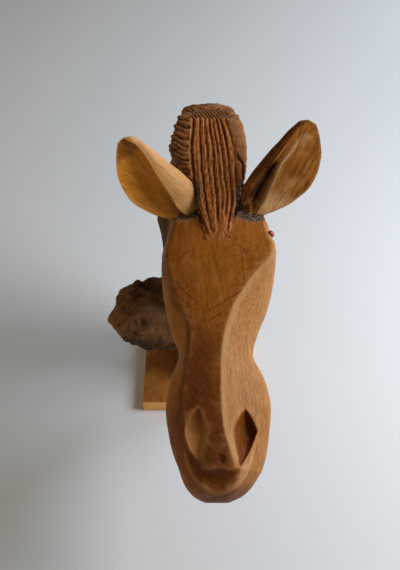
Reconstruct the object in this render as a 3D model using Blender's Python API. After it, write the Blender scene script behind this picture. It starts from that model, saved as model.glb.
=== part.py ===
"""Carved driftwood horse head on a flat board. Metres, +Z up.

The origin is the centre of the board's underside. The horse faces -Y, so +X is to its left.
The trunk, neck, mane and head are one piece of wood. The ears, the eyes and the board are separate.
"""

import math

import bmesh
import bpy
import numpy as np
from mathutils import Vector

# Driving dimensions, in metres
NECK_HEIGHT = 0.387     # board's top to the crest of the mane
NECK_DEPTH = 0.128      # throat to the back of the neck
NECK_WIDTH = 0.088
HEAD_LENGTH = 0.310     # poll to chin
HEAD_WIDTH = 0.125      # across the brow
HEAD_DEPTH = 0.112      # forehead to the angle of the jaw
HEAD_TILT = math.radians(23.2)   # how far the face drops below level
MANE_WIDTH = 0.086
BURL_REACH = 0.121      # middle of the board to the tip of the burl
EAR_LENGTH = 0.106
EAR_WIDTH = 0.052
EYE_RADIUS = 0.0045
BOARD_WIDTH = 0.158
BOARD_DEPTH = 0.170
BOARD_THICKNESS = 0.018
BOARD_CHAMFER = 0.0012
JOINT_GAP = 0.0003      # clearance between two pieces that touch

# Depth of the carving, in metres
LOCK_DEPTH = 0.0032
NOSTRIL_DEPTH = 0.014
LIP_DEPTH = 0.0025
EYE_SOCKET_DEPTH = 0.0022
EAR_BED_DEPTH = 0.0025
EAR_BED_REACH = 0.028   # up and down the ear from its root
EAR_BED_CHIP = 0.004    # size of the chips left in it
BARK_DEPTH = 0.0030
BARK_LUMP = 0.036       # size of the swellings in the weathered wood
BARK_KNOT = 0.014
BARK_FLAKE = 0.007
BURL_CRAG = 0.022

# Mesh of the carved piece: size of its cells, and triangles that it is thinned to
VOXEL = 0.0016
CARVED_TRIANGLES = 7200

# The rows below are drawn in millimetres, for the sizes above. These bring them to any other size.
ALONG = HEAD_LENGTH / 310
ACROSS = HEAD_WIDTH / 125
DEEP = HEAD_DEPTH / 112
UP = NECK_HEIGHT / 387
FORE = NECK_DEPTH / 128
SIDE = NECK_WIDTH / 88
MANE_SIDE = MANE_WIDTH / 86
EAR_UP = EAR_LENGTH / 106
EAR_SIDE = EAR_WIDTH / 52
FOOT_Z = BOARD_THICKNESS + JOINT_GAP

POLL = np.array([24 * SIDE, -57 * FORE, FOOT_Z + 342 * UP])
DOWN_FACE = np.array([0, -math.cos(HEAD_TILT), -math.sin(HEAD_TILT)])
OFF_FACE = np.array([0, -math.sin(HEAD_TILT), math.cos(HEAD_TILT)])
SIDEWAYS = np.array([1.0, 0, 0])

# Head, along the face from the poll: left edge, right edge, left ridge, right ridge, crown, left ridge
# drop, right ridge drop, edge drop, jaw half width, jaw drop, underside
HEAD_ROWS = (
    (-34, -42, 42, -36, 36, -10, -14, -14, -42, 30, -84, -102),
    (0, -56, 53, -45, 42, -2, -8, -7, -38, 40, -100, -122),
    (28, -61, 58, -54, 50, 1, -7, -4, -35, 43, -112, -136),
    (55, -66.5, 63, -59, 55, 2, -6, 0, -33, 42, -116, -139),
    (85, -67.5, 63.5, -53, 31, 2, -4, 2, -33, 37, -104, -127),
    (112, -64, 57.5, -44, 13, 0, -3, 1, -33, 31, -88, -106),
    (138, -57, 46, -33, 4, -2, -3, -1, -32, 27, -76, -91),
    (160, -48, 40, -33, 0, -4, -4, -2, -31, 25, -68, -82),
    (182, -56, 52, -37, -1, -4, -6, -2, -33, 29, -66, -79),
    (212, -63, 60, -40, -1, -3, -7, -1, -34, 33, -66, -78),
    (240, -60, 57, -38, 1, -1, -6, 0, -36, 32, -66, -78),
    (265, -53.5, 51.5, -30, 8, 0, -5, 0, -37, 29, -64, -76),
    (279, -48, 46, -20, 12, 0, -4, 0, -38, 26, -62, -73),
)
# The lips and chin, below the end of the bridge
MUZZLE_ROWS = (
    (279.5, -48, 46, -20, 12, 0, -4, 0, -38, 26, -62, -73),
    (281.5, -47, 44, -21, 12, -4, -7, -4, -38, 25, -62, -73),
    (290, -43, 37.5, -20, 11, -9, -11, -9, -39, 23, -60, -70),
    (298, -37, 29.5, -18, 9, -12, -14, -12, -40, 20, -56, -64),
    (304, -30, 21, -14, 6, -19, -21, -19, -41, 15, -50, -55),
    (309, -18, 8, -9, 1, -32, -33, -32, -42, 9, -46, -49),
)
# Left ridge, crown, right ridge, facet beside it, right edge, right jaw, underside, left jaw, left edge
HEAD_SOFTNESS = (0.28, 1.0, 0.03, 0.25, 0.9, 0.9, 1.0, 0.9, 0.9)

EYE_PLACES = {1: (30, 54.6, -11), -1: (30, -55.2, -33)}     # along, across and off the face

# Neck and trunk, up from the board: middle, front, back, half width
NECK_ROWS = (
    (-16, 12, -54, 76, 53),
    (18, 11, -42, 70, 44),
    (60, 8, -38, 70, 41),
    (110, 5, -38, 76, 41),
    (160, 3, -40, 84, 42),
    (200, 2, -42, 89, 42),
    (240, 1, -44, 90, 43),
    (270, 1, -46, 89, 46),
    (300, 3, -46, 85, 48),
    (325, 9, -40, 78, 45),
    (350, 12, -24, 66, 40),
    (368, 12, 0, 52, 30),
    (378, 12, 14, 42, 16),
)

# Mane and forelock, from the point of the forelock over the crest and down the back of the neck:
# forward place, height above the board, middle, half width, thickness
MANE_ROWS = (
    (-97, 323, 21.5, 11, 0.5),
    (-75, 335.5, 20, 17, 3.0),
    (-55, 347.5, 20, 26, 5.5),
    (-30, 362, 19, 33, 8.0),
    (-5, 376, 11, 43, 9.0),
    (14, 386, 12, 40, 8.0),
    (31, 391, 12, 36, 7.0),
    (50, 389, 12, 29, 7.0),
    (69, 376, 10, 29, 9.0),
    (82, 352, 9, 28, 10.0),
    (90, 318, 7, 27, 10.0),
    (93, 275, 5, 24, 9.0),
    (91, 230, 3, 18, 6.0),
    (86, 190, 2, 9, 2.0),
)
FORELOCK_END = 143      # along the mane, from the forelock's point to its cut end on the crest

# Strands of the forelock, up from its point: distance along the mane, middle, half width
FORELOCK_ROWS = (
    (0, 22.5, 9),
    (8, 22.3, 11),
    (25, 21.5, 16),
    (49, 20.5, 21.5),
    (77, 17.5, 22.5),
    (106, 15, 22),
    (143, 12, 16.5),
)
# Grooves between the strands: place across the half width, depth, and how far up the groove starts
FORELOCK_GROOVES = (
    (-1.04, 1.0, 6),
    (-0.60, 0.9, 7),
    (-0.28, 0.7, 30),
    (0.02, 0.85, 20),
    (0.25, 0.6, 32),
    (0.47, 0.85, 24),
    (0.74, 1.0, 8),
    (1.05, 0.7, 13),
)

# Burl, outwards to the horse's right: middle fore and aft, height, half depth, half height
BURL_ROWS = (
    (0, 10, 90, 38, 66),
    (28, 0, 98, 40, 60),
    (52, -8, 106, 41, 55),
    (64, -12, 112, 40, 56),
    (80, -18, 116, 37, 49),
    (96, -24, 121, 32, 38),
    (110, -29, 127, 21, 23),
    (121, -33, 131, 6, 6),
)
BURL_SOFTNESS = (0.7, 0.8, 0.6, 0.9, 0.7, 0.8)

# Ears, up the blade: inner edge, outer edge, lip line, lip height, slot behind the lip, middle of the
# hollow and its depth, rim, back. The horse's left ear has a deep slot and a low ridge in place of a hollow.
EAR_ROWS = {
    1: (
        (-14, 12, -13, -2, 5, -5, -8, -5, -3, 8),
        (-2, 18, -22, 4, 9, 1, -7, -7, -2, 10),
        (12, 21, -32, 7, 10, 8, -6, -7, -1, 11),
        (28, 21, -39, 8, 10, 8, -4, -7, -1, 10),
        (44, 19, -43, 8, 9, 4, -1, -6.5, -1, 9),
        (58, 17, -42, 8, 8, -3, 0, -6, -1, 8.5),
        (72, 14, -38, 7, 7, -5, -2, -4.5, -0.5, 8),
        (84, 12, -32, 6, 5, -3.5, -2, -3.5, -0.5, 7),
        (95, 9, -23, 5, 3.5, -2.5, -2, -2.5, 0, 5),
        (103, 5, -15, 1, 2.5, -1.5, -4, -1, 0, 3.5),
        (107, -1, -10, -3, 1, -0.6, -7, -0.3, 0, 1.5),
    ),
    -1: (
        (-14, 12, -13, -2, 6, -3.6, -7.5, -6, -3, 8),
        (-2, 18, -22, -4, 10, -3.6, -13, -6, -3, 10),
        (12, 21, -32, -3, 12, 0.6, -17.5, 1, 0.5, 11),
        (28, 21, -39, 0, 12, 3.6, -19.5, 6, 3, 10),
        (48, 18, -43, 1, 10, 4.2, -21, 7, 3.5, 9),
        (66, 15, -40, 2, 8, 3.6, -19, 6, 3, 8),
        (82, 12, -33, 3, 6, 2.7, -15, 4.5, 2.2, 7),
        (95, 9, -23, 3, 4, 1.8, -10, 3, 1.5, 5),
        (103, 5, -15, 0, 3, 0.9, -7.5, 1.5, 0.7, 3.5),
        (107, -1, -10, -2, 1, 0, -6, 0, 0, 1.5),
    ),
}
EAR_SOFTNESS = {
    1: (0.9, 0.9, 0.2, 0.35, 0.3, 0.8, 0.4, 0.9, 0.9, 0.85),
    -1: (0.9, 0.9, 0.2, 0.7, 0.9, 0.8, 0.4, 0.9, 0.9, 0.85),
}


def curve(rows, at):
    """Smooth values read from rows of (place, value, value, ...) at the places asked for."""
    rows = np.array(rows, float)
    place, values = rows[:, 0], rows[:, 1:]
    slope = np.gradient(values, place, axis=0)
    at = np.clip(np.asarray(at, float), place[0], place[-1])
    k = np.clip(np.searchsorted(place, at, side="right") - 1, 0, len(place) - 2)
    span = (place[k + 1] - place[k])[:, None]
    t = (at - place[k])[:, None] / span
    return (
        (2 * t**3 - 3 * t**2 + 1) * values[k]
        + (t**3 - 2 * t**2 + t) * span * slope[k]
        + (3 * t**2 - 2 * t**3) * values[k + 1]
        + (t**3 - t**2) * span * slope[k + 1]
    )


def ease(value, low, high):
    """0 at low, 1 at high, and smooth between. Low may be above high."""
    t = np.clip((value - low) / (high - low), 0, 1)
    return t * t * (3 - 2 * t)


LATTICE = np.random.default_rng(7).random((32, 32, 32))


def noise(points, cell):
    """Smooth value noise from -1 to 1 over cells of the given size."""
    points = points / cell
    corner = np.floor(points).astype(int)
    t = points - corner
    t = t * t * (3 - 2 * t)
    total = np.zeros(len(points))
    for step in np.ndindex(2, 2, 2):
        weight = np.prod(np.where(step, t, 1 - t), axis=1)
        i, j, k = ((corner + step) % 32).T
        total += weight * LATTICE[i, j, k]
    return 2 * total - 1


def rounded(corners, softness, steps):
    """A closed outline through corners, each cut back by its softness from 0, sharp, to 1."""
    outline = []
    for i, corner in enumerate(corners):
        before = corner + (corners[i - 1] - corner) / 2 * softness[i]
        after = corner + (corners[(i + 1) % len(corners)] - corner) / 2 * softness[i]
        for t in np.linspace(0, 1, steps):
            outline.append((1 - t) ** 2 * before + 2 * t * (1 - t) * corner + t**2 * after)
    return np.array(outline)


def oval(half, down, up, squareness):
    """A closed outline around 0,0 that reaches half to each side. Squareness 2 is an ellipse."""
    angle = np.linspace(0, 2 * math.pi, 56, endpoint=False)
    c, s = np.cos(angle), np.sin(angle)
    x = np.sign(c) * abs(c) ** (2 / squareness)
    y = np.sign(s) * abs(s) ** (2 / squareness)
    return np.stack([x * half, np.where(y > 0, y * up, y * down)], 1)


def add_object(name, mesh):
    obj = bpy.data.objects.new(name, mesh)
    bpy.context.scene.collection.objects.link(obj)
    return obj


def skin(name, rings):
    """A closed skin through rings with equal numbers of points, with a fan over each end."""
    bm = bmesh.new()
    loops = [[bm.verts.new(p) for p in ring] for ring in rings]
    for near, far in zip(loops, loops[1:]):
        for i in range(len(near)):
            j = (i + 1) % len(near)
            bm.faces.new((near[i], near[j], far[j], far[i]))
    for loop in (loops[0], loops[-1]):
        centre = bm.verts.new(sum((v.co for v in loop), Vector()) / len(loop))
        for i in range(len(loop)):
            bm.faces.new((loop[i], loop[(i + 1) % len(loop)], centre))
    bmesh.ops.recalc_face_normals(bm, faces=bm.faces)
    bmesh.ops.triangulate(bm, faces=bm.faces)
    mesh = bpy.data.meshes.new(name)
    bm.to_mesh(mesh)
    bm.free()
    return add_object(name, mesh)


def evaluated(obj):
    """The object's mesh with its modifiers applied, as a new mesh. The object goes."""
    bpy.context.view_layer.update()
    graph = bpy.context.evaluated_depsgraph_get()
    mesh = bpy.data.meshes.new_from_object(obj.evaluated_get(graph))
    bpy.data.objects.remove(obj)
    return mesh


def fuse(name, blocks, voxel):
    """One closed surface around overlapping closed blocks."""
    bm = bmesh.new()
    for block in blocks:
        bm.from_mesh(block.data)
        bpy.data.objects.remove(block)
    mesh = bpy.data.meshes.new(name)
    bm.to_mesh(mesh)
    bm.free()
    return reskin(add_object(name, mesh), voxel, 2)


def reskin(obj, voxel, softening):
    """One even skin around the object, softened a few times. It has no folds or inner walls."""
    remesh = obj.modifiers.new("skin", "REMESH")
    remesh.mode = "VOXEL"
    remesh.voxel_size = voxel
    soften = obj.modifiers.new("soften", "SMOOTH")
    soften.factor = 0.5
    soften.iterations = softening
    return evaluated(obj)


def head_block():
    """The head as cut by planes: a flat face between two ridges, side planes, cheeks and jaw."""
    rings = []
    for rows, places in ((HEAD_ROWS, np.linspace(-34, 279, 80)), (MUZZLE_ROWS, np.linspace(279.5, 309, 24))):
        for place, row in zip(places, curve(rows, places)):
            left, right, ridge_l, ridge_r, crown, drop_l, drop_r, drop, jaw, jaw_drop, under = row
            middle = (left + right) / 2
            facet = 2 + 0.12 * (right - ridge_r)
            corners = [(ridge_l, drop_l), ((ridge_l + ridge_r) / 2, crown), (ridge_r, drop_r)]
            corners += [(ridge_r + facet, drop_r - 0.4 * facet), (right, drop), (middle + jaw, jaw_drop)]
            corners += [(middle, under), (middle - jaw, jaw_drop), (left, drop)]
            outline = rounded(np.array(corners), HEAD_SOFTNESS, 6)
            rings.append(
                [
                    POLL + place * ALONG * DOWN_FACE + x * ACROSS * SIDEWAYS + n * DEEP * OFF_FACE
                    for x, n in outline
                ]
            )
    return skin("head block", rings)


def neck_block():
    rings = []
    heights = np.linspace(NECK_ROWS[0][0], NECK_ROWS[-1][0], 60)
    for height, (middle, front, back, half) in zip(heights, curve(NECK_ROWS, heights)):
        centre = (front + back) / 2
        depth = (back - front) / 2
        outline = oval(half, depth, depth, 2.3)
        rings.append(
            [((middle + x) * SIDE, (centre + y) * FORE, FOOT_Z + height * UP) for x, y in outline]
        )
    return skin("neck block", rings)


def mane_path(count):
    """Places along the mane: distance, point, outward normal, half width and thickness."""
    fine = np.linspace(0, len(MANE_ROWS) - 1, 600)
    rows = curve([(i, *row) for i, row in enumerate(MANE_ROWS)], fine)
    points = np.stack([rows[:, 2] * SIDE, rows[:, 0] * FORE, FOOT_Z + rows[:, 1] * UP], 1)
    flat = points * (0, 1, 1)
    run = np.concatenate([[0], np.cumsum(np.linalg.norm(np.diff(flat, axis=0), axis=1))])
    at = np.linspace(0, run[-1], count)
    pick = np.searchsorted(run, at).clip(0, len(run) - 1)
    tangent = np.gradient(flat, run, axis=0)[pick]
    tangent /= np.linalg.norm(tangent, axis=1)[:, None]
    outward = np.stack([tangent[:, 0], -tangent[:, 2], tangent[:, 1]], 1)
    return at, points[pick], outward, rows[pick, 3] * MANE_SIDE, rows[pick, 4] * FORE


def mane_block():
    """The mane draped over the crest like a saddle, with the forelock running down on to the face."""
    at, points, outward, half, thickness = mane_path(70)
    rings = []
    for i in range(len(at)):
        drape = (4 + 34 * ease(at[i] / FORE, 30, 90)) * FORE
        outline = oval(half[i], drape, thickness[i], 2.6)
        rings.append([points[i] + x * SIDEWAYS + y * outward[i] for x, y in outline])
    return skin("mane block", rings)


def burl_block():
    """A knob of root wood with blunt corners that turn a little along it."""
    rings = []
    places = np.linspace(0, BURL_ROWS[-1][0], 34)
    reach = BURL_REACH / BURL_ROWS[-1][0]
    for place, (centre, height, half_deep, half_high) in zip(places, curve(BURL_ROWS, places)):
        corners = []
        for turn, bulge in ((15, 1.15), (70, 1.08), (125, 1.22), (185, 1.12), (245, 1.2), (305, 1.1)):
            angle = math.radians(turn + 0.2 * place)
            corners.append((half_deep * bulge * math.cos(angle), half_high * bulge * math.sin(angle)))
        outline = rounded(np.array(corners), BURL_SOFTNESS, 6)
        rings.append(
            [(-place * reach, (centre + y) * FORE, FOOT_Z + (height + z) * UP) for y, z in outline]
        )
    return skin("burl block", rings)


def in_head_frame(points):
    """How far along, across and off the face each point is, in the head rows' millimetres."""
    offset = points - POLL
    return offset @ DOWN_FACE / ALONG, offset @ SIDEWAYS / ACROSS, offset @ OFF_FACE / DEEP


def nostrils(points, normals):
    """Almond scoops with crisp rims, the horse's left one deeper and squarer."""
    along, across, out = in_head_frame(points)
    push = np.zeros(len(points))
    facing = ease(normals @ OFF_FACE, 0.1, 0.35)
    # Middle along and across, lean above and below it, reach up, down, inwards and outwards, wall, depth
    for side, mid, offset, lean_up, lean_down, up, down, inner, outer, soft, share in (
        (-1, 243, 20, -0.18, 0.14, 22, 29, 6, 17, 1.3, 0.45),
        (1, 241, 26, 0.10, -0.22, 21, 37, 17, 9.5, 1.3, 1.0),
    ):
        u = (along - mid) / np.where(along < mid, up, down)
        axis = offset + np.where(along < mid, lean_up, lean_down) * (along - mid)
        v = side * across - axis
        v = v / np.where(v < 0, inner, outer)
        rim = abs(u) ** 1.35 + abs(v) ** 1.25
        wall = 0.7 + (soft - 0.7) * ease(-v, 0, 0.6)
        push -= share * np.clip(1 - rim, 0, 1) ** wall * (1 + 0.35 * v) * facing
    return push[:, None] * NOSTRIL_DEPTH * OFF_FACE


def lips(points, normals):
    """The channel over the upper lip, the line of the mouth, and a notch at the end of the bridge."""
    along, across, out = in_head_frame(points)
    ring = np.hypot((along - 246) / 55, (across + 3.5) / 35)
    front = ease(along, 258, 275) * ease(normals @ OFF_FACE, -0.1, 0.2)
    channel = ease(ring, 0.66, 0.84) * ease(ring, 1.0, 0.86) * front
    crest = np.exp(-(((ring - 1.0) / 0.04) ** 2)) * ease(along, 255, 272) * ease(out, -34, -24)
    mouth_line = -47 - 0.03 * (309 - along)
    mouth = np.exp(-(((out - mouth_line) / 1.6) ** 2)) * ease(along, 232, 246)
    notch = ease(np.hypot(across + 1.2, along - 269), 4, 1) * ease(out, -20, -10)
    return ((0.4 * crest - channel - mouth - notch) * LIP_DEPTH)[:, None] * normals


def mane_locks(points, normals):
    """Parallel locks down the forelock, and slanting ones that end in scallops round the crest and nape."""
    at, path, outward, half, _ = mane_path(500)
    nearest = np.empty(len(points), int)
    for part in np.array_split(np.arange(len(points)), 40):
        gap = points[part, None, 1:] - path[None, :, 1:]
        nearest[part] = (gap**2).sum(2).argmin(1)
    run = at[nearest] * 1000
    lateral = (points[:, 0] - path[nearest, 0]) / half[nearest]
    height = ((points - path[nearest]) * outward[nearest]).sum(1) * 1000
    on_mane = ease(abs(lateral), 1.16, 1.04) * ease(height, -44, -38) * ease(run, 1, 5)
    on_mane *= ease(height, -5 - 0.32 * run.clip(0, 120), -2 - 0.30 * run.clip(0, 120))
    on_mane *= 1 - ease(run, run.max() - 20, run.max() - 2)
    middle, width = curve(FORELOCK_ROWS, run).T
    strand = (points[:, 0] / SIDE - middle) / width
    wander = noise(np.stack([run / 26, strand * 2, 0 * run], 1), 1.0)
    groove = 0.3 - 0.3 * abs(np.sin(math.pi * (strand * 7 + 0.8 * wander))) ** 0.5
    for place, depth, start in FORELOCK_GROOVES:
        away = abs(strand + 0.05 * wander - place) * width
        groove = np.maximum(groove, depth * ease(away, 2.8, 0) * ease(run, start, start + 8))
    below = ease(run, FORELOCK_END + 1, FORELOCK_END - 1)
    forelock = below * ease(abs(strand), 1.24, 1.12)
    # Beside the forelock: curls on the horse's right, and one plain lock with a hooked edge on its left
    slant = (run * 0.9 - abs(lateral) * 16 + height * 0.45 + 1.5 * wander) / 8.5
    curls = 0.8 * abs(np.sin(math.pi * slant)) ** 0.7 - 0.8
    curls += 0.9 * abs(np.sin(math.pi * (run - height * 0.2) / 13)) - 0.5
    curls *= 1 - 0.75 * below * ease(strand, 0.9, 1.2)
    hook = np.interp(run, (40, 60, 88, 103), (1.15, 1.35, 1.45, 1.05))
    curls -= ease(abs(strand - hook) * width, 2.4, 0) * ease(run, 38, 46) * ease(run, 106, 100)
    # Above the forelock: a row of short strokes
    strokes = 0.7 * abs(np.sin(math.pi * (points[:, 0] * 1000 + 0.6 * run) / 4.2)) - 0.9
    crest = (1 - below) * ease(run, FORELOCK_END + 18, FORELOCK_END + 12) * ease(abs(strand), 1.5, 1.2)
    lift = (1 - forelock - crest) * curls + crest * strokes - forelock * groove
    return (on_mane * lift * LOCK_DEPTH)[:, None] * normals


def driftwood(points, normals):
    """Weathered wood on the trunk, the burl and the sides of the neck: flutes, knots and hollows."""
    along, across, out = in_head_frame(points)
    up = (points[:, 2] - FOOT_Z) / UP
    carved = ease(along, -30, 0) * ease(out, -118, -104)
    natural = (1 - carved) * ease(up, 325, 285)
    around = np.arctan2(points[:, 1] - 18 * FORE, points[:, 0])
    flute = abs(np.sin(3.5 * around + 8 * points[:, 2] + 1.3 * noise(points, 1.4 * BARK_LUMP)))
    low = ease(up, 290, 190)
    coarse = noise(points * (1, 1, 0.6), BARK_LUMP)
    middling = noise(points * (1, 1, 0.35) + 3, BARK_KNOT)
    fine = noise(points * (1, 1, 0.5) + 9, BARK_FLAKE)
    lift = (0.25 + 0.75 * low) * (1.8 * coarse + 1.7 * (flute - 0.7)) + 0.7 * middling + 0.3 * fine
    lift *= natural * BARK_DEPTH
    burl = ease(points[:, 0], -45 * SIDE, -68 * SIDE) * ease(up, 50, 65)
    crag = 1 - 2 * abs(noise(points * (1, 1, 0.8) + 5, BURL_CRAG))
    lift += burl * BARK_DEPTH * (1.1 * crag + 0.5 * noise(points, BARK_FLAKE) - 0.3)
    # The hollow in the top of the burl, the worm hole below it, and the lump behind them
    for x, y, z, radius, depth in ((-64, -2, 170, 17, 17), (-76, -26, 156, 5, 8), (-84, 2, 166, 12, -6)):
        away = np.linalg.norm((points - (x * SIDE, y * FORE, FOOT_Z + z * UP)) * (1, 0.8, 1), axis=1)
        lift -= burl * depth * 0.001 * ease(away, radius * 0.0011, radius * 0.0005)
    return lift[:, None] * normals


def eye_sockets(points, normals):
    """A shallow almond round each eye, with a low lid."""
    along, across, out = in_head_frame(points)
    lift = np.zeros(len(points))
    for side, (eye_along, eye_across, eye_off) in EYE_PLACES.items():
        ring = np.hypot((along - eye_along) / 17, (out - eye_off) / 8)
        lid = 0.45 * np.exp(-(((ring - 1.15) / 0.2) ** 2))
        lift += ease(side * across, 44, 50) * (lid - ease(ring, 1.0, 0.7))
    return (lift * EYE_SOCKET_DEPTH)[:, None] * normals


def ear_beds(points, normals):
    """Rough hollows chopped round the roots of the ears."""
    lift = np.zeros(len(points))
    for side in (1, -1):
        root, blade, inward, face = ear_frame(side)
        offset = points - root
        away = np.hypot(offset @ inward, offset @ face * 1.5)
        near = ease(abs(offset @ blade), EAR_BED_REACH, EAR_BED_REACH / 2)
        lift -= near * ease(away, EAR_WIDTH * 0.52, EAR_WIDTH * 0.36)
    rough = 1 + 0.5 * noise(points, EAR_BED_CHIP)
    return (lift * rough * EAR_BED_DEPTH)[:, None] * normals


def carved_mesh():
    mesh = fuse("carved", [head_block(), neck_block(), mane_block(), burl_block()], VOXEL)
    count = len(mesh.vertices)
    points = np.empty(count * 3)
    normals = np.empty(count * 3)
    mesh.vertices.foreach_get("co", points)
    mesh.vertex_normals.foreach_get("vector", normals)
    points = points.reshape(-1, 3)
    normals = normals.reshape(-1, 3)
    moved = points.copy()
    for carving in (nostrils, lips, mane_locks, driftwood, eye_sockets, ear_beds):
        moved += carving(points, normals)
    mesh.vertices.foreach_set("co", moved.ravel())
    return reskin(add_object("carved", mesh), VOXEL, 1)


def flat_foot(mesh):
    """Saws the trunk off level, so that it stands on the board."""
    bm = bmesh.new()
    bm.from_mesh(mesh)
    cut = bmesh.ops.bisect_plane(
        bm,
        geom=bm.verts[:] + bm.edges[:] + bm.faces[:],
        plane_co=(0, 0, FOOT_Z),
        plane_no=(0, 0, -1),
        clear_outer=True,
    )
    rim = [e for e in cut["geom_cut"] if isinstance(e, bmesh.types.BMEdge)]
    bmesh.ops.holes_fill(bm, edges=rim, sides=0)
    bmesh.ops.triangulate(bm, faces=bm.faces)
    bm.to_mesh(mesh)
    bm.free()


def ear_frame(side):
    """Root, blade direction, width direction towards the mane, and the way the hollow faces.

    Side 1 is the horse's left ear and -1 its right. Each was set at its own angle."""
    if side > 0:
        root, blade, face = (38, 5, 0), (0.47, 0.20, 0.86), (0.22, -0.66, 0.72)
    else:
        root, blade, face = (-35, 7, -7), (-0.60, 0.08, 0.80), (-0.22, -0.66, 0.72)
    root = np.array(root) * (ACROSS, ALONG, DEEP) + POLL
    blade = np.array(blade) / np.linalg.norm(blade)
    face = np.array(face) - np.dot(face, blade) * blade
    face /= np.linalg.norm(face)
    inward = np.cross(blade, face)
    inward *= -np.sign(inward[0] * side)
    return root, blade, inward, face


def ear(name, side):
    """A leaf with a rolled inner lip and a face that looks out and forward."""
    root, blade, inward, face = ear_frame(side)
    bottom, top = EAR_ROWS[side][0][0], EAR_ROWS[side][-1][0]
    places = top - (top - bottom) * np.linspace(1, 0, 12) ** 1.4
    rings = []
    for place, row in zip(places, curve(EAR_ROWS[side], places)):
        inner, outer, lip, high, slot, middle, hollow, rim, back = row
        corners = [
            (inner, -1),
            ((inner + lip) / 2 + 1, high * 0.85),
            (lip, high),
            (lip - 3, -slot),
            (middle, -hollow),
            (outer * 0.86, -rim),
            (outer, 0),
            (outer * 0.75, -back * 0.75),
            ((inner + outer) / 2, -back),
            (inner * 0.8, -back * 0.7),
        ]
        outline = rounded(np.array(corners), EAR_SOFTNESS[side], 3)
        centre = root + blade * place * EAR_UP
        rings.append([centre + (inward * w + face * f) * EAR_SIDE for w, f in outline])
    return skin(name, rings)


def eye(name, side):
    bm = bmesh.new()
    bmesh.ops.create_uvsphere(bm, u_segments=12, v_segments=8, radius=EYE_RADIUS)
    mesh = bpy.data.meshes.new(name)
    bm.to_mesh(mesh)
    bm.free()
    obj = add_object(name, mesh)
    along, across, off = EYE_PLACES[side]
    obj.location = POLL + along * ALONG * DOWN_FACE + across * ACROSS * SIDEWAYS + off * DEEP * OFF_FACE
    return obj


def cut_seat(body, piece):
    """Cuts a seat for the piece into the body, with the joint's clearance all round it."""
    cutter = piece.copy()
    cutter.name = piece.name + " seat"
    cutter.hide_render = True
    cutter.display_type = "WIRE"
    bpy.context.scene.collection.objects.link(cutter)
    clearance = cutter.modifiers.new("clearance", "DISPLACE")
    clearance.strength = JOINT_GAP
    clearance.mid_level = 0
    seat = body.modifiers.new(cutter.name, "BOOLEAN")
    seat.operation = "DIFFERENCE"
    seat.solver = "EXACT"
    seat.object = cutter


def board():
    bm = bmesh.new()
    bmesh.ops.create_cube(bm, size=1)
    bmesh.ops.scale(bm, vec=(BOARD_WIDTH, BOARD_DEPTH, BOARD_THICKNESS), verts=bm.verts)
    bmesh.ops.translate(bm, vec=(0, 0, BOARD_THICKNESS / 2), verts=bm.verts)
    bmesh.ops.bevel(bm, geom=bm.edges, offset=BOARD_CHAMFER, segments=2, profile=0.5, affect="EDGES")
    mesh = bpy.data.meshes.new("base_board")
    bm.to_mesh(mesh)
    bm.free()
    return add_object("base_board", mesh)


def wood(name, colour, roughness):
    """Colour is sRGB, 0 to 1."""
    material = bpy.data.materials.new(name)
    material.use_nodes = True
    shader = material.node_tree.nodes["Principled BSDF"]
    linear = [c / 12.92 if c < 0.04045 else ((c + 0.055) / 1.055) ** 2.4 for c in colour]
    shader.inputs["Base Color"].default_value = (*linear, 1)
    shader.inputs["Roughness"].default_value = roughness
    shader.inputs["Metallic"].default_value = 0
    return material


def shade(obj, sharp_angle):
    """Smooth shading, with edges left sharp where the faces turn by more than the angle."""
    bm = bmesh.new()
    bm.from_mesh(obj.data)
    for face in bm.faces:
        face.smooth = True
    for edge in bm.edges:
        edge.smooth = edge.calc_face_angle(0) < sharp_angle
    bm.to_mesh(obj.data)
    bm.free()


for old in list(bpy.data.objects):
    bpy.data.objects.remove(old)

# Trunk, neck, mane and head: blocked out, fused, carved, sawn level and thinned to a light mesh
body = add_object("carving", carved_mesh())
thin = body.modifiers.new("thin", "DECIMATE")
thin.ratio = CARVED_TRIANGLES / sum(len(p.vertices) - 2 for p in body.data.polygons)
thin.use_collapse_triangulate = True
body = add_object("carved_horse_head", evaluated(body))
flat_foot(body.data)
body.data.materials.append(wood("oiled driftwood", (0.55, 0.33, 0.16), 0.5))

for side, word in ((1, "left"), (-1, "right")):
    blade = ear(word + "_ear", side)
    blade.data.materials.append(wood(word + " ear wood", (0.60, 0.38, 0.18), 0.5))
    shade(blade, math.radians(45))
    cut_seat(body, blade)
    bead = eye(word + "_eye", side)
    bead.data.materials.append(wood(word + " eye bead", (0.35, 0.12, 0.07), 0.3))
    shade(bead, math.radians(60))
    cut_seat(body, bead)
shade(body, math.radians(28))

base = board()
base.data.materials.append(wood("board wood", (0.62, 0.40, 0.20), 0.55))
shade(base, math.radians(30))
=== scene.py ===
"""Carved driftwood horse head on a flat board, dressed over its solids. Metres, +Z up.

The horse faces -Y and +X is its own left, so its left ear is on the right of the picture.
"""

import math

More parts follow.
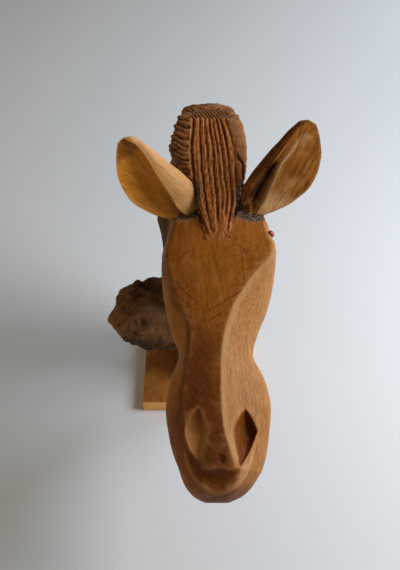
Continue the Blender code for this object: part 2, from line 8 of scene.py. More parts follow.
import bmesh
import bpy
import numpy as np
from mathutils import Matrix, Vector


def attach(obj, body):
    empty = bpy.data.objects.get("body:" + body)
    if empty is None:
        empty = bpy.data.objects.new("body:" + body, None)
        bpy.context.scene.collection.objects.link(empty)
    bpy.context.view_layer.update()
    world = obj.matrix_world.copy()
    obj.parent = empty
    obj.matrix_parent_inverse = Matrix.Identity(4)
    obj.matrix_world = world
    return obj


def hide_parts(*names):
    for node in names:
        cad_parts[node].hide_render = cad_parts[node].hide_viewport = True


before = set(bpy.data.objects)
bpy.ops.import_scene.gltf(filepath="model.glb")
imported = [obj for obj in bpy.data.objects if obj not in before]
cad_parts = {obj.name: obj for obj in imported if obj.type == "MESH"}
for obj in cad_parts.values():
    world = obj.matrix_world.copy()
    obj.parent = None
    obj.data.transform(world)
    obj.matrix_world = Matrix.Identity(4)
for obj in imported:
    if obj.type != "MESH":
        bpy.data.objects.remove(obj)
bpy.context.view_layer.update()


# Camera: a phone held above the muzzle, looking down on the face at 47 degrees.
CAMERA_PLACE = (0.002, -0.656, 0.875)
CAMERA_PITCH = 47       # degrees below level
LENS = 45.47            # mm, on a sensor 36 mm tall
SIGHT_REACH = 20


def add_object(name, data):
    obj = bpy.data.objects.new(name, data)
    bpy.context.scene.collection.objects.link(obj)
    return obj


camera = add_object("camera", bpy.data.cameras.new("camera"))
camera.location = CAMERA_PLACE
camera.rotation_euler = (math.radians(90 - CAMERA_PITCH), 0, 0)
camera.data.lens = LENS
camera.data.clip_end = SIGHT_REACH
bpy.context.scene.camera = camera
bpy.context.scene.view_settings.view_transform = "Standard"


# Floor: a plain pale sheet under the board. It's white with a cool cast, and matt like paper.
def linear(colour):
    """An sRGB hex colour as the linear values that a shader takes."""
    parts = [int(colour[i : i + 2], 16) / 255 for i in (1, 3, 5)]
    return [c / 12.92 if c < 0.04045 else ((c + 0.055) / 1.055) ** 2.4 for c in parts] + [1]


def new_material(name):
    material = bpy.data.materials.new(name)
    material.use_nodes = True
    return material, material.node_tree, material.node_tree.nodes["Principled BSDF"]


def add_node(tree, kind, sockets, **settings):
    """Adds a node with its settings. A socket takes a value, or a link from another node's output."""
    node = tree.nodes.new("ShaderNode" + kind)
    for name, value in settings.items():
        setattr(node, name, value)
    for name, value in sockets.items():
        if isinstance(value, bpy.types.NodeSocket):
            tree.links.new(value, node.inputs[name])
        else:
            node.inputs[name].default_value = value
    return node


FLOOR_REACH = 5.0
FLOOR_COLOUR = "#e5e5e1"
PAPER_ROUGHNESS = 0.9

corners = [(x * FLOOR_REACH, y * FLOOR_REACH, 0) for x, y in ((-1, -1), (1, -1), (1, 1), (-1, 1))]
mesh = bpy.data.meshes.new("floor")
mesh.from_pydata(corners, [], [(0, 1, 2, 3)])
floor = add_object("floor", mesh)
paper, tree, shader = new_material("matt white backdrop paper")
shader.inputs["Base Color"].default_value = linear(FLOOR_COLOUR)
shader.inputs["Roughness"].default_value = PAPER_ROUGHNESS
mesh.materials.append(paper)


# Light: soft window-like panels to the right, near and far, a faint warm one from the left, and a dim,
# warm room all round.
ROOM_COLOUR = "#efe5d2"
ROOM_STRENGTH = 0.21
LIT_PLACE = Vector((0, -0.1, 0.2))      # what every panel faces

world = bpy.data.worlds.new("pale room")
world.use_nodes = True
background = world.node_tree.nodes["Background"]
background.inputs["Color"].default_value = linear(ROOM_COLOUR)
background.inputs["Strength"].default_value = ROOM_STRENGTH
bpy.context.scene.world = world
# Name, place, width, watts, colour
for name, place, size, power, colour in (
    ("window", (0.85, -0.1, 0.85), 0.6, 11, "#e9f1ff"),
    ("far window", (1.3, 1.3, 1.1), 0.9, 20, "#dceaff"),
    ("room fill", (-1.3, -0.7, 0.7), 1.3, 1.5, "#ffdcb0"),
):
    panel = bpy.data.lights.new(name, "AREA")
    panel.size = size
    panel.energy = power
    panel.color = linear(colour)[:3]
    lamp = add_object(name, panel)
    lamp.location = place
    lamp.rotation_euler = (LIT_PLACE - lamp.location).to_track_quat("-Z", "Y").to_euler()
    lamp.visible_camera = False


# Carved head, neck and trunk: one piece of root wood, sawn level and fixed on the board. The head is cut
# with a knife into flat planes and oiled, and the trunk and its burl keep their natural, weathered surface.
# The sizes are those of the solid, except that the neck is a few millimetres wider.
NECK_HEIGHT = 0.387     # board's top to the crest of the mane
NECK_DEPTH = 0.128
NECK_WIDTH = 0.088
HEAD_LENGTH = 0.310     # poll to chin
HEAD_WIDTH = 0.125
HEAD_DEPTH = 0.112
HEAD_TILT = math.radians(23.2)
MANE_WIDTH = 0.086
BURL_REACH = 0.121
BOARD_THICKNESS = 0.018
JOINT_GAP = 0.0003
LOCK_DEPTH = 0.0032
NOSTRIL_DEPTH = 0.014
LIP_DEPTH = 0.0025
EYE_SOCKET_DEPTH = 0.0022
EAR_BED_DEPTH = 0.0025
EAR_BED_REACH = 0.028
EAR_BED_CHIP = 0.004
BARK_DEPTH = 0.0030
BARK_LUMP = 0.036
BARK_KNOT = 0.014
BARK_FLAKE = 0.007
BURL_CRAG = 0.022
HAIR_DEPTH = 0.0006
WAVE_DEPTH = 0.0003     # unevenness that the knife leaves in the planes
FIBRE_DEPTH = 0.0006
SKIN_CELL = 0.0013      # cells of the fine skin that the carving is cut in
SKIN_TRIANGLES = 190000

ALONG = HEAD_LENGTH / 310
ACROSS = HEAD_WIDTH / 125
DEEP = HEAD_DEPTH / 112
UP = NECK_HEIGHT / 387
FORE = NECK_DEPTH / 128
SIDE = NECK_WIDTH / 88
MANE_SIDE = MANE_WIDTH / 86
FOOT_Z = BOARD_THICKNESS + JOINT_GAP
POLL = np.array([24 * SIDE, -57 * FORE, FOOT_Z + 342 * UP])
DOWN_FACE = np.array([0, -math.cos(HEAD_TILT), -math.sin(HEAD_TILT)])
OFF_FACE = np.array([0, -math.sin(HEAD_TILT), math.cos(HEAD_TILT)])
SIDEWAYS = np.array([1.0, 0, 0])

# Along the face from the poll: left edge, right edge, left ridge, right ridge, crown, left ridge drop,
# right ridge drop, edge drop, jaw half width, jaw drop, underside
HEAD_ROWS = (
    (-34, -42, 42, -36, 36, -10, -14, -14, -42, 30, -84, -102),
    (0, -56, 53, -45, 42, -2, -8, -7, -38, 40, -100, -122),
    (28, -61, 58, -54, 50, 1, -7, -4, -35, 43, -112, -136),
    (55, -66.5, 63, -59, 55, 2, -6, 0, -33, 42, -116, -139),
    (85, -67.5, 63.5, -53, 31, 2, -4, 2, -33, 37, -104, -127),
    (112, -64, 57.5, -44, 13, 0, -3, 1, -33, 31, -88, -106),
    (138, -57, 46, -33, 4, -2, -3, -1, -32, 27, -76, -91),
    (160, -48, 40, -33, 0, -4, -4, -2, -31, 25, -68, -82),
    (182, -56, 52, -37, -1, -4, -6, -2, -33, 29, -66, -79),
    (212, -63, 60, -40, -1, -3, -7, -1, -34, 33, -66, -78),
    (240, -60, 57, -38, 1, -1, -6, 0, -36, 32, -66, -78),
    (265, -53.5, 51.5, -30, 8, 0, -5, 0, -37, 29, -64, -76),
    (279, -48, 46, -20, 12, 0, -4, -1.5, -38, 26, -62, -73),
)
MUZZLE_ROWS = (
    (279.5, -48, 46, -20, 12, 0, -4, -1.7, -38, 26, -62, -73),
    (281.5, -47, 44, -21, 12, -4, -7, -2.6, -38, 25, -62, -73),
    (290, -43, 37.5, -20, 11, -9, -11, -7, -39, 23, -60, -70),
    (298, -37, 29.5, -18, 9, -12, -14, -12, -40, 20, -56, -64),
    (304, -30, 21, -14, 6, -19, -21, -19, -41, 15, -50, -55),
    (309, -18, 8, -9, 1, -32, -33, -32, -42, 9, -46, -49),
)
HEAD_SOFTNESS = (0.22, 1.0, 0.03, 0.25, 0.9, 0.9, 1.0, 0.9, 0.9)

EYE_PLACES = {1: (30, -11), -1: (30, -33)}      # along and off the face

# Up from the board: middle, front, back, half width
NECK_ROWS = (
    (-16, 12, -54, 76, 53),
    (18, 11, -42, 70, 44),
    (60, 8, -38, 70, 41),
    (110, 5, -38, 76, 41),
    (160, 3, -40, 84, 42),
    (200, 0.5, -42, 89, 44),
    (240, -1, -44, 90, 46.5),
    (270, -1, -46, 89, 49.5),
    (300, 2, -46, 85, 49),
    (325, 9, -40, 78, 45),
    (350, 12, -24, 66, 40),
    (368, 12, 0, 52, 30),
    (378, 12, 14, 42, 16),
)

# From the point of the forelock over the crest and down the nape: forward place, height, middle,
# half width, thickness
MANE_ROWS = (
    (-97, 323, 21.5, 11, 0.5),
    (-75, 335.5, 20, 17, 3.0),
    (-55, 347.5, 20, 26, 5.5),
    (-30, 362, 19, 33, 8.0),
    (-5, 376, 11, 43, 9.0),
    (14, 386, 12, 40, 8.0),
    (31, 391, 12, 36, 7.0),
    (50, 389, 12, 29, 7.0),
    (69, 376, 10, 29, 9.0),
    (82, 352, 9, 28, 10.0),
    (90, 318, 7, 27, 10.0),
    (93, 275, 5, 24, 9.0),
    (91, 230, 3, 18, 6.0),
    (86, 190, 2, 9, 2.0),
)
FORELOCK_END = 143      # along the mane, from the forelock's point to its cut end on the crest

# Strands of the forelock, up from its point: distance along the mane, middle, half width
FORELOCK_ROWS = (
    (0, 22.5, 9),
    (8, 22.3, 11),
    (25, 21.5, 16),
    (49, 20.5, 21.5),
    (77, 17.5, 22.5),
    (106, 15, 22),
    (143, 12, 16.5),
)
# Grooves between the strands: place across the half width, depth, and how far up the groove starts
FORELOCK_GROOVES = (
    (-1.04, 1.0, 6),
    (-0.60, 0.9, 7),
    (-0.28, 0.7, 30),
    (0.02, 0.85, 20),
    (0.25, 0.6, 32),
    (0.47, 0.85, 24),
    (0.74, 1.0, 8),
    (1.05, 0.7, 13),
)

# Outwards to the horse's right: middle fore and aft, height, half depth, half height
BURL_ROWS = (
    (0, 10, 90, 38, 66),
    (28, 0, 95, 40, 63),
    (52, -8, 102, 41, 59),
    (64, -12, 109, 40, 59),
    (80, -18, 116, 37, 49),
    (96, -24, 121, 32, 38),
    (110, -29, 127, 21, 23),
    (121, -33, 131, 6, 6),
)
BURL_SOFTNESS = (0.7, 0.8, 0.6, 0.9, 0.7, 0.8)


def curve(rows, at):
    """Smooth values read from rows of (place, value, value, ...) at the places asked for."""
    rows = np.array(rows, float)
    place, values = rows[:, 0], rows[:, 1:]
    slope = np.gradient(values, place, axis=0)
    at = np.clip(np.asarray(at, float), place[0], place[-1])
    k = np.clip(np.searchsorted(place, at, side="right") - 1, 0, len(place) - 2)
    span = (place[k + 1] - place[k])[:, None]
    t = (at - place[k])[:, None] / span
    return (
        (2 * t**3 - 3 * t**2 + 1) * values[k]
        + (t**3 - 2 * t**2 + t) * span * slope[k]
        + (3 * t**2 - 2 * t**3) * values[k + 1]
        + (t**3 - t**2) * span * slope[k + 1]
    )


def ease(value, low, high):
    """0 at low, 1 at high, and smooth between. Low may be above high."""
    t = np.clip((value - low) / (high - low), 0, 1)
    return t * t * (3 - 2 * t)


LATTICE = np.random.default_rng(7).random((32, 32, 32))


def noise(points, cell):
    """Smooth value noise from -1 to 1 over cells of the given size."""
    points = points / cell
    corner = np.floor(points).astype(int)
    t = points - corner
    t = t * t * (3 - 2 * t)
    total = np.zeros(len(points))
    for step in np.ndindex(2, 2, 2):
        weight = np.prod(np.where(step, t, 1 - t), axis=1)
        i, j, k = ((corner + step) % 32).T
        total += weight * LATTICE[i, j, k]
    return 2 * total - 1


def rounded(corners, softness, steps):
    """A closed outline through corners, each cut back by its softness from 0, sharp, to 1."""
    outline = []
    for i, corner in enumerate(corners):
        before = corner + (corners[i - 1] - corner) / 2 * softness[i]
        after = corner + (corners[(i + 1) % len(corners)] - corner) / 2 * softness[i]
        for t in np.linspace(0, 1, steps):
            outline.append((1 - t) ** 2 * before + 2 * t * (1 - t) * corner + t**2 * after)
    return np.array(outline)


def oval(half, down, up, squareness):
    """A closed outline around 0,0 that reaches half to each side. Squareness 2 is an ellipse."""
    angle = np.linspace(0, 2 * math.pi, 96, endpoint=False)
    c, s = np.cos(angle), np.sin(angle)
    x = np.sign(c) * abs(c) ** (2 / squareness)
    y = np.sign(s) * abs(s) ** (2 / squareness)
    return np.stack([x * half, np.where(y > 0, y * up, y * down)], 1)


def skin(name, rings):
    """A closed skin through rings with equal numbers of points, with a fan over each end."""
    bm = bmesh.new()
    loops = [[bm.verts.new(p) for p in ring] for ring in rings]
    for near, far in zip(loops, loops[1:]):
        for i in range(len(near)):
            j = (i + 1) % len(near)
            bm.faces.new((near[i], near[j], far[j], far[i]))
    for loop in (loops[0], loops[-1]):
        centre = bm.verts.new(sum((v.co for v in loop), Vector()) / len(loop))
        for i in range(len(loop)):
            bm.faces.new((loop[i], loop[(i + 1) % len(loop)], centre))
    bmesh.ops.recalc_face_normals(bm, faces=bm.faces)
    mesh = bpy.data.meshes.new(name)
    bm.to_mesh(mesh)
    bm.free()
    return add_object(name, mesh)


def evaluated(obj):
    """The object's mesh with its modifiers applied, as a new mesh. The object goes."""
    bpy.context.view_layer.update()
    graph = bpy.context.evaluated_depsgraph_get()
    mesh = bpy.data.meshes.new_from_object(obj.evaluated_get(graph))
    bpy.data.objects.remove(obj)
    return mesh


def head_block():
    """The head as cut by planes: a flat face between two ridges, side planes, cheeks and jaw."""
    rings = []
    for rows, count in ((HEAD_ROWS, 160), (MUZZLE_ROWS, 40)):
        places = np.linspace(rows[0][0], rows[-1][0], count)
        for place, row in zip(places, curve(rows, places)):
            left, right, ridge_l, ridge_r, crown, drop_l, drop_r, drop, jaw, jaw_drop, under = row
            middle = (left + right) / 2
            facet = 2 + 0.12 * (right - ridge_r)
            corners = [(ridge_l, drop_l), ((ridge_l + ridge_r) / 2, crown), (ridge_r, drop_r)]
            corners += [(ridge_r + facet, drop_r - 0.4 * facet), (right, drop), (middle + jaw, jaw_drop)]
            corners += [(middle, under), (middle - jaw, jaw_drop), (left, drop)]
            x, n = rounded(np.array(corners), HEAD_SOFTNESS, 10).T[..., None]
            on_face = POLL + place * ALONG * DOWN_FACE + x * ACROSS * SIDEWAYS
            rings.append(on_face + n * DEEP * OFF_FACE)
    return skin("head block", rings)


def neck_block():
    rings = []
    heights = np.linspace(NECK_ROWS[0][0], NECK_ROWS[-1][0], 90)
    for height, (middle, front, back, half) in zip(heights, curve(NECK_ROWS, heights)):
        centre = (front + back) / 2
        depth = (back - front) / 2
        outline = oval(half, depth, depth, 2.3)
        rings.append(
            [((middle + x) * SIDE, (centre + y) * FORE, FOOT_Z + height * UP) for x, y in outline]
        )
    return skin("neck block", rings)


def mane_path(count):
    """Places along the mane: distance, point, outward normal, half width and thickness."""
    fine = np.linspace(0, len(MANE_ROWS) - 1, 600)
    rows = curve([(i, *row) for i, row in enumerate(MANE_ROWS)], fine)
    points = np.stack([rows[:, 2] * SIDE, rows[:, 0] * FORE, FOOT_Z + rows[:, 1] * UP], 1)
    flat = points * (0, 1, 1)
    run = np.concatenate([[0], np.cumsum(np.linalg.norm(np.diff(flat, axis=0), axis=1))])
    at = np.linspace(0, run[-1], count)
    pick = np.searchsorted(run, at).clip(0, len(run) - 1)
    tangent = np.gradient(flat, run, axis=0)[pick]
    tangent /= np.linalg.norm(tangent, axis=1)[:, None]
    outward = np.stack([tangent[:, 0], -tangent[:, 2], tangent[:, 1]], 1)
    return at, points[pick], outward, rows[pick, 3] * MANE_SIDE, rows[pick, 4] * FORE


def mane_block():
    """The mane draped over the crest like a saddle, with the forelock running down on to the face."""
    at, points, outward, half, thickness = mane_path(120)
    rings = []
    for i in range(len(at)):
        drape = (4 + 34 * ease(at[i] / FORE, 30, 90)) * FORE
        outline = oval(half[i], drape, thickness[i], 2.6)
        rings.append([points[i] + x * SIDEWAYS + y * outward[i] for x, y in outline])
    return skin("mane block", rings)


def burl_block():
    """A knob of root wood with blunt corners that turn a little along it."""
    rings = []
    places = np.linspace(0, BURL_ROWS[-1][0], 60)
    reach = BURL_REACH / BURL_ROWS[-1][0]
    for place, (centre, height, half_deep, half_high) in zip(places, curve(BURL_ROWS, places)):
        corners = []
        for turn, bulge in ((15, 1.15), (70, 1.08), (125, 1.22), (185, 1.12), (245, 1.2), (305, 1.1)):
            angle = math.radians(turn + 0.2 * place)
            corners.append((half_deep * bulge * math.cos(angle), half_high * bulge * math.sin(angle)))
        outline = rounded(np.array(corners), BURL_SOFTNESS, 10)
        rings.append(
            [(-place * reach, (centre + y) * FORE, FOOT_Z + (height + z) * UP) for y, z in outline]
        )
    return skin("burl block", rings)


def in_head_frame(points):
    """How far along, across and off the face each point is, in the head rows' millimetres."""
    offset = points - POLL
    return offset @ DOWN_FACE / ALONG, offset @ SIDEWAYS / ACROSS, offset @ OFF_FACE / DEEP


def nostrils(points, normals):
    """Almond scoops with crisp rims, the horse's left one deeper and squarer. From 0 to 1 at the bottom."""
    along, across, _ = in_head_frame(points)
    scoop = np.zeros(len(points))
    facing = ease(normals @ OFF_FACE, 0.1, 0.35)
    # Middle along and across, lean above and below it, reach up, down, inwards and outwards, wall, depth
    for side, mid, offset, lean_up, lean_down, up, down, inner, outer, soft, share in (
        (-1, 243, 20, -0.18, 0.14, 22, 29, 6, 17, 1.3, 0.45),
        (1, 241, 26, 0.10, -0.22, 21, 37, 17, 9.5, 1.3, 1.0),
    ):
        u = (along - mid) / np.where(along < mid, up, down)
        axis = offset + np.where(along < mid, lean_up, lean_down) * (along - mid)
        v = side * across - axis
        v = v / np.where(v < 0, inner, outer)
        rim = abs(u) ** 1.35 + abs(v) ** 1.25
        wall = 0.7 + (soft - 0.7) * ease(-v, 0, 0.6)
        scoop += share * np.clip(1 - rim, 0, 1) ** wall * (1 + 0.35 * v) * facing
    return scoop


def lips(points, normals):
    """The channel over the upper lip, the line of the mouth, and a notch at the end of the bridge.

    Gives the crest below the channel, the rings that the lip follows, how far each point is from the notch
    and how far the surface stands out."""
    along, across, out = in_head_frame(points)
    ring = np.hypot((along - 246) / 55, (across + 3.5) / 35)
    front = ease(along, 258, 275) * ease(normals @ OFF_FACE, -0.1, 0.2)
    channel = ease(ring, 0.66, 0.84) * ease(ring, 1.0, 0.86) * front
    crest = np.exp(-(((ring - 1.0) / 0.04) ** 2)) * ease(along, 255, 272) * ease(out, -34, -24)
    mouth_line = -47 - 0.03 * (309 - along)
    mouth = np.exp(-(((out - mouth_line) / 1.6) ** 2)) * ease(along, 232, 246)
    from_notch = np.hypot((across + 1.2) / 3.4, (along - 271) / 4.6)
    notch = ease(from_notch, 1.15, 0.5) * ease(out, -20, -10)
    return crest, ring, from_notch, 0.4 * crest - channel - mouth - 0.6 * notch


def mane_locks(points):
    """Parallel locks down the forelock, and slanting ones that end in scallops round the crest and nape.

    Gives how much of each point is mane, its lock's height, and its place along and across the mane."""
    at, path, outward, half, _ = mane_path(500)
    nearest = np.empty(len(points), int)
    for part in np.array_split(np.arange(len(points)), 120):
        gap = points[part, None, 1:] - path[None, :, 1:]
        nearest[part] = (gap**2).sum(2).argmin(1)
    run = at[nearest] * 1000
    lateral = (points[:, 0] - path[nearest, 0]) / half[nearest]
    height = ((points - path[nearest]) * outward[nearest]).sum(1) * 1000
    on_mane = ease(abs(lateral), 1.16, 1.04) * ease(height, -44, -38) * ease(run, 1, 5)
    on_mane *= ease(height, -5 - 0.32 * run.clip(0, 120), -2 - 0.30 * run.clip(0, 120))
    on_mane *= 1 - ease(run, run.max() - 20, run.max() - 2)
    middle, width = curve(FORELOCK_ROWS, run).T
    strand = (points[:, 0] / SIDE - middle) / width
    wander = noise(np.stack([run / 26, strand * 2, 0 * run], 1), 1.0)
    jag = 0.02 * noise(np.stack([run / 2.6, strand * 9, 0 * run], 1), 1.0)
    groove = 0.55 - 0.55 * abs(np.sin(math.pi * (strand * 7 + 0.8 * wander + 9 * jag))) ** 0.6
    for place, depth, start in FORELOCK_GROOVES:
        away = abs(strand + 0.05 * wander + jag - place) * width
        groove = np.maximum(groove, depth * ease(away, 2.1, 0) * ease(run, start, start + 8))
    below = ease(run, FORELOCK_END + 1, FORELOCK_END - 1)
    forelock = below * ease(abs(strand), 1.24, 1.12)
    # Beside the forelock: curls on the horse's right, and one plain lock with a hooked edge on its left
    slant = (run * 0.9 - abs(lateral) * 16 + height * 0.45 + 2.5 * wander) / 6.2
    curls = (0.75 + 0.25 * wander) * abs(np.sin(math.pi * slant)) ** 0.7 - 0.8
    curls += 0.9 * abs(np.sin(math.pi * (run - height * 0.2) / 13)) - 0.5
    curls *= 1 - 0.75 * below * ease(strand, 0.9, 1.2)
    hook = np.interp(run, (40, 60, 88, 103), (1.15, 1.35, 1.45, 1.05))
    curls -= ease(abs(strand - hook) * width, 2.4, 0) * ease(run, 38, 46) * ease(run, 106, 100)
    # Above the forelock: a row of short strokes
    strokes = 0.7 * abs(np.sin(math.pi * (points[:, 0] * 1000 + 0.6 * run) / 4.2)) - 0.9
    crest = (1 - below) * ease(run, FORELOCK_END + 18, FORELOCK_END + 12) * ease(abs(strand), 1.5, 1.2)
    lift = (1 - forelock - crest) * curls + crest * strokes - forelock * groove
    return on_mane, lift, run, np.where(forelock > 0.5, strand, lateral), forelock


def driftwood(points):
    """Weathered wood on the trunk, the burl and the sides of the neck: flutes, knots and hollows.

    Gives how natural and how carved the surface is, how far it stands out in metres, and its hollows, which
    the material paints near-black as shade."""
    along, across, out = in_head_frame(points)
    up = (points[:, 2] - FOOT_Z) / UP
    carved = ease(along, -30, 0) * ease(out, -118, -104)
    natural = (1 - carved) * ease(up, 325, 285)
    around = np.arctan2(points[:, 1] - 18 * FORE, points[:, 0])
    flute = abs(np.sin(3.5 * around + 8 * points[:, 2] + 1.3 * noise(points, 1.4 * BARK_LUMP)))
    low = ease(up, 290, 190)
    coarse = noise(points * (1, 1, 0.6), BARK_LUMP)
    middling = noise(points * (1, 1, 0.35) + 3, BARK_KNOT)
    fine = noise(points * (1, 1, 0.5) + 9, BARK_FLAKE)
    lift = (0.25 + 0.75 * low) * (1.8 * coarse + 1.7 * (flute - 0.7)) + 0.7 * middling + 0.3 * fine
    lift *= natural * BARK_DEPTH
    burl = ease(points[:, 0], -45 * SIDE, -68 * SIDE) * ease(up, 50, 65)
    crag = 1 - 2 * abs(noise(points * (1, 1, 0.8) + 5, BURL_CRAG))
    lift += burl * BARK_DEPTH * (1.1 * crag + 0.5 * noise(points, BARK_FLAKE) - 0.3)
    # The hollow in the top of the burl, the worm hole below it, and the lump behind them
    pit = np.zeros(len(points))
    for x, y, z, radius, depth in ((-64, -2, 170, 17, 17), (-76, -26, 156, 5, 8), (-84, 2, 166, 12, -6)):
        away = np.linalg.norm((points - (x * SIDE, y * FORE, FOOT_Z + z * UP)) * (1, 0.8, 1), axis=1)
        near = burl * ease(away, radius * 0.0011, radius * 0.0005)
        lift -= near * depth * 0.001
        pit = np.maximum(pit, near * (depth > 0))
    return natural, carved, lift, pit


def eye_sockets(points):
    """A shallow almond round each eye, with a low lid."""
    along, across, out = in_head_frame(points)
    lift = np.zeros(len(points))
    for side, (eye_along, eye_off) in EYE_PLACES.items():
        ring = np.hypot((along - eye_along) / 17, (out - eye_off) / 8)
        lid = 0.45 * np.exp(-(((ring - 1.15) / 0.2) ** 2))
        lift += ease(side * across, 44, 50) * (lid - ease(ring, 1.0, 0.7))
    return lift


EAR_LENGTH = 0.106
EAR_WIDTH = 0.052
EAR_UP = EAR_LENGTH / 106
EAR_SIDE = EAR_WIDTH / 52


def ear_frame(side):
    """Root, blade direction, width direction towards the mane, and the way the hollow faces.

    Side 1 is the horse's left ear and -1 its right. Each was set at its own angle."""
    if side > 0:
        root, blade, face = (38, 5, 0), (0.47, 0.20, 0.86), (0.22, -0.66, 0.72)
    else:
        root, blade, face = (-35, 7, -7), (-0.60, 0.08, 0.80), (-0.22, -0.66, 0.72)
    root = np.array(root) * (ACROSS, ALONG, DEEP) + POLL
    blade = np.array(blade) / np.linalg.norm(blade)
    face = np.array(face) - np.dot(face, blade) * blade
    face /= np.linalg.norm(face)
    inward = np.cross(blade, face)
    inward *= -np.sign(inward[0] * side)
    return root, blade, inward, face


def ear_beds(points, outer, inner):
    """How near each point is to an ear's root, from 0 at the outer share of the ear's width to 1."""
    near_root = np.zeros(len(points))
    for side in (1, -1):
        root, blade, inward, face = ear_frame(side)
        offset = points - root
        away = np.hypot(offset @ inward, offset @ face * 1.5)
        near = ease(abs(offset @ blade), EAR_BED_REACH, EAR_BED_REACH / 2)
        near_root += near * ease(away, EAR_WIDTH * outer, EAR_WIDTH * inner)
    return near_root


def vertex_arrays(mesh):
    points = np.empty(len(mesh.vertices) * 3)
    normals = np.empty(len(mesh.vertices) * 3)
    mesh.vertices.foreach_get("co", points)
    mesh.vertex_normals.foreach_get("vector", normals)
    return points.reshape(-1, 3), normals.reshape(-1, 3)


def relief(mesh, rounds):
    """How far each vertex stands out of its surroundings, in millimetres. Grooves are below 0."""
    points, normals = vertex_arrays(mesh)
    ends = np.empty(len(mesh.edges) * 2, int)
    mesh.edges.foreach_get("vertices", ends)
    a, b = ends.reshape(-1, 2).T
    n = len(points)
    count = np.bincount(a, minlength=n) + np.bincount(b, minlength=n)
    smooth = points.copy()
    for _ in range(rounds):
        total = np.empty_like(points)
        for i in range(3):
            total[:, i] = np.bincount(a, smooth[b, i], n) + np.bincount(b, smooth[a, i], n)
        smooth = 0.3 * smooth + 0.7 * total / count[:, None]
    return ((points - smooth) * normals).sum(1) * 1000


def paint(mesh, tree, painted):
    """Keeps values for each vertex, and gives the links that read them in the material."""
    masks = {}
    for name, values in painted.items():
        kind, field, read = ("FLOAT", "value", "Fac")
        if values.ndim == 2:
            kind, field, read = ("FLOAT_VECTOR", "vector", "Vector")
        layer = mesh.attributes.new(name, kind, "POINT")
        layer.data.foreach_set(field, values.astype(np.float32).ravel())
        masks[name] = add_node(tree, "Attribute", {}, attribute_name=name).outputs[read]
    return masks


def layered(tree, colour, patterns, masks, layers):
    """Colours laid over one another. Each layer has a pattern, where that starts and where it is full, how
    strong the layer is, its colour, and the mask that keeps it to a part of the surface."""
    for pattern, start, full, share, tint, mask in layers:
        factor = share
        if pattern:
            spans = {"Value": patterns[pattern], "From Min": start, "From Max": full, "To Max": share}
            factor = add_node(tree, "MapRange", spans).outputs[0]
        if mask:
            factor = add_node(tree, "Math", {0: masks[mask], 1: factor}, operation="MULTIPLY").outputs[0]
        mixed = {0: factor, 6: colour, 7: linear(tint)}
        colour = add_node(tree, "Mix", mixed, data_type="RGBA").outputs[2]
    return colour


def raised(tree, shader, patterns, masks, steps):
    """Bump from the sum of steps. Each has its pattern, its depth in metres and its mask."""
    height = 0.0
    for pattern, depth, mask in steps:
        step = patterns[pattern]
        if mask:
            step = add_node(tree, "Math", {0: step, 1: masks[mask]}, operation="MULTIPLY").outputs[0]
        total = {0: step, 1: depth, 2: height}
        height = add_node(tree, "Math", total, operation="MULTIPLY_ADD").outputs[0]
    bump = add_node(tree, "Bump", {"Height": height, "Distance": 1.0})
    tree.links.new(bump.outputs[0], shader.inputs["Normal"])


OILED_IOR = 1.45
OILED_SHEEN = 0.16          # of the specular level, which is 0.5 on bare plastic
OILED_ROUGHNESS = (0.46, 0.56)


def oiled(tree, shader, fibres, roughness, masks, rougher):
    """Wood wiped with oil: its roughness follows the fibres, and rises where the masks say."""
    low, high = roughness
    spans = {"Value": fibres, "From Min": 0.3, "From Max": 0.7, "To Min": low, "To Max": high}
    rough = add_node(tree, "MapRange", spans).outputs[0]
    for mask, share in rougher:
        total = {0: masks[mask], 1: share, 2: rough}
        rough = add_node(tree, "Math", total, operation="MULTIPLY_ADD").outputs[0]
    tree.links.new(rough, shader.inputs["Roughness"])
    shader.inputs["IOR"].default_value = OILED_IOR
    shader.inputs["Specular IOR Level"].default_value = OILED_SHEEN


# The blocks are fused into one skin, and the carving is cut into it
bm = bmesh.new()
for block in (head_block(), neck_block(), mane_block(), burl_block()):
    bm.from_mesh(block.data)
    bpy.data.objects.remove(block)
mesh = bpy.data.meshes.new("carving")
bm.to_mesh(mesh)
bm.free()
carving = add_object("carving", mesh)
fuse = carving.modifiers.new("fuse", "REMESH")
fuse.mode = "VOXEL"
fuse.voxel_size = SKIN_CELL
soften = carving.modifiers.new("soften", "SMOOTH")
soften.factor = 0.5
soften.iterations = 3
mesh = evaluated(carving)

points, normals = vertex_arrays(mesh)
on_mane, lock, run, strand, forelock = mane_locks(points)
natural, _, bark, _ = driftwood(points)
rough_bed = 1 + 0.5 * noise(points, EAR_BED_CHIP) + 0.5 * noise(points, EAR_BED_CHIP / 2)
lift = on_mane * lock * LOCK_DEPTH + bark
lift += lips(points, normals)[-1] * LIP_DEPTH + eye_sockets(points) * EYE_SOCKET_DEPTH
lift -= ear_beds(points, 0.52, 0.36) * rough_bed * EAR_BED_DEPTH
# Finer than the solid: hairs within each lock, fibres and cracks in the natural wood
hair = noise(np.stack([strand * 16, run / 22, 0 * run], 1), 1.0)
hair += 0.6 * noise(np.stack([strand * 31, run / 9, 0 * run], 1), 1.0)
lift += on_mane * forelock * HAIR_DEPTH * hair
lift += (1 - natural) * (1 - on_mane) * WAVE_DEPTH * noise(points, 0.012)
fibre = noise(points * (1, 1, 0.22), 0.0035) + 0.6 * noise(points * (1, 1, 0.3) + 4, 0.002)
lift += natural * FIBRE_DEPTH * fibre
moved = points + lift[:, None] * normals
moved -= (nostrils(points, normals) * NOSTRIL_DEPTH)[:, None] * OFF_FACE
mesh.vertices.foreach_set("co", moved.ravel())

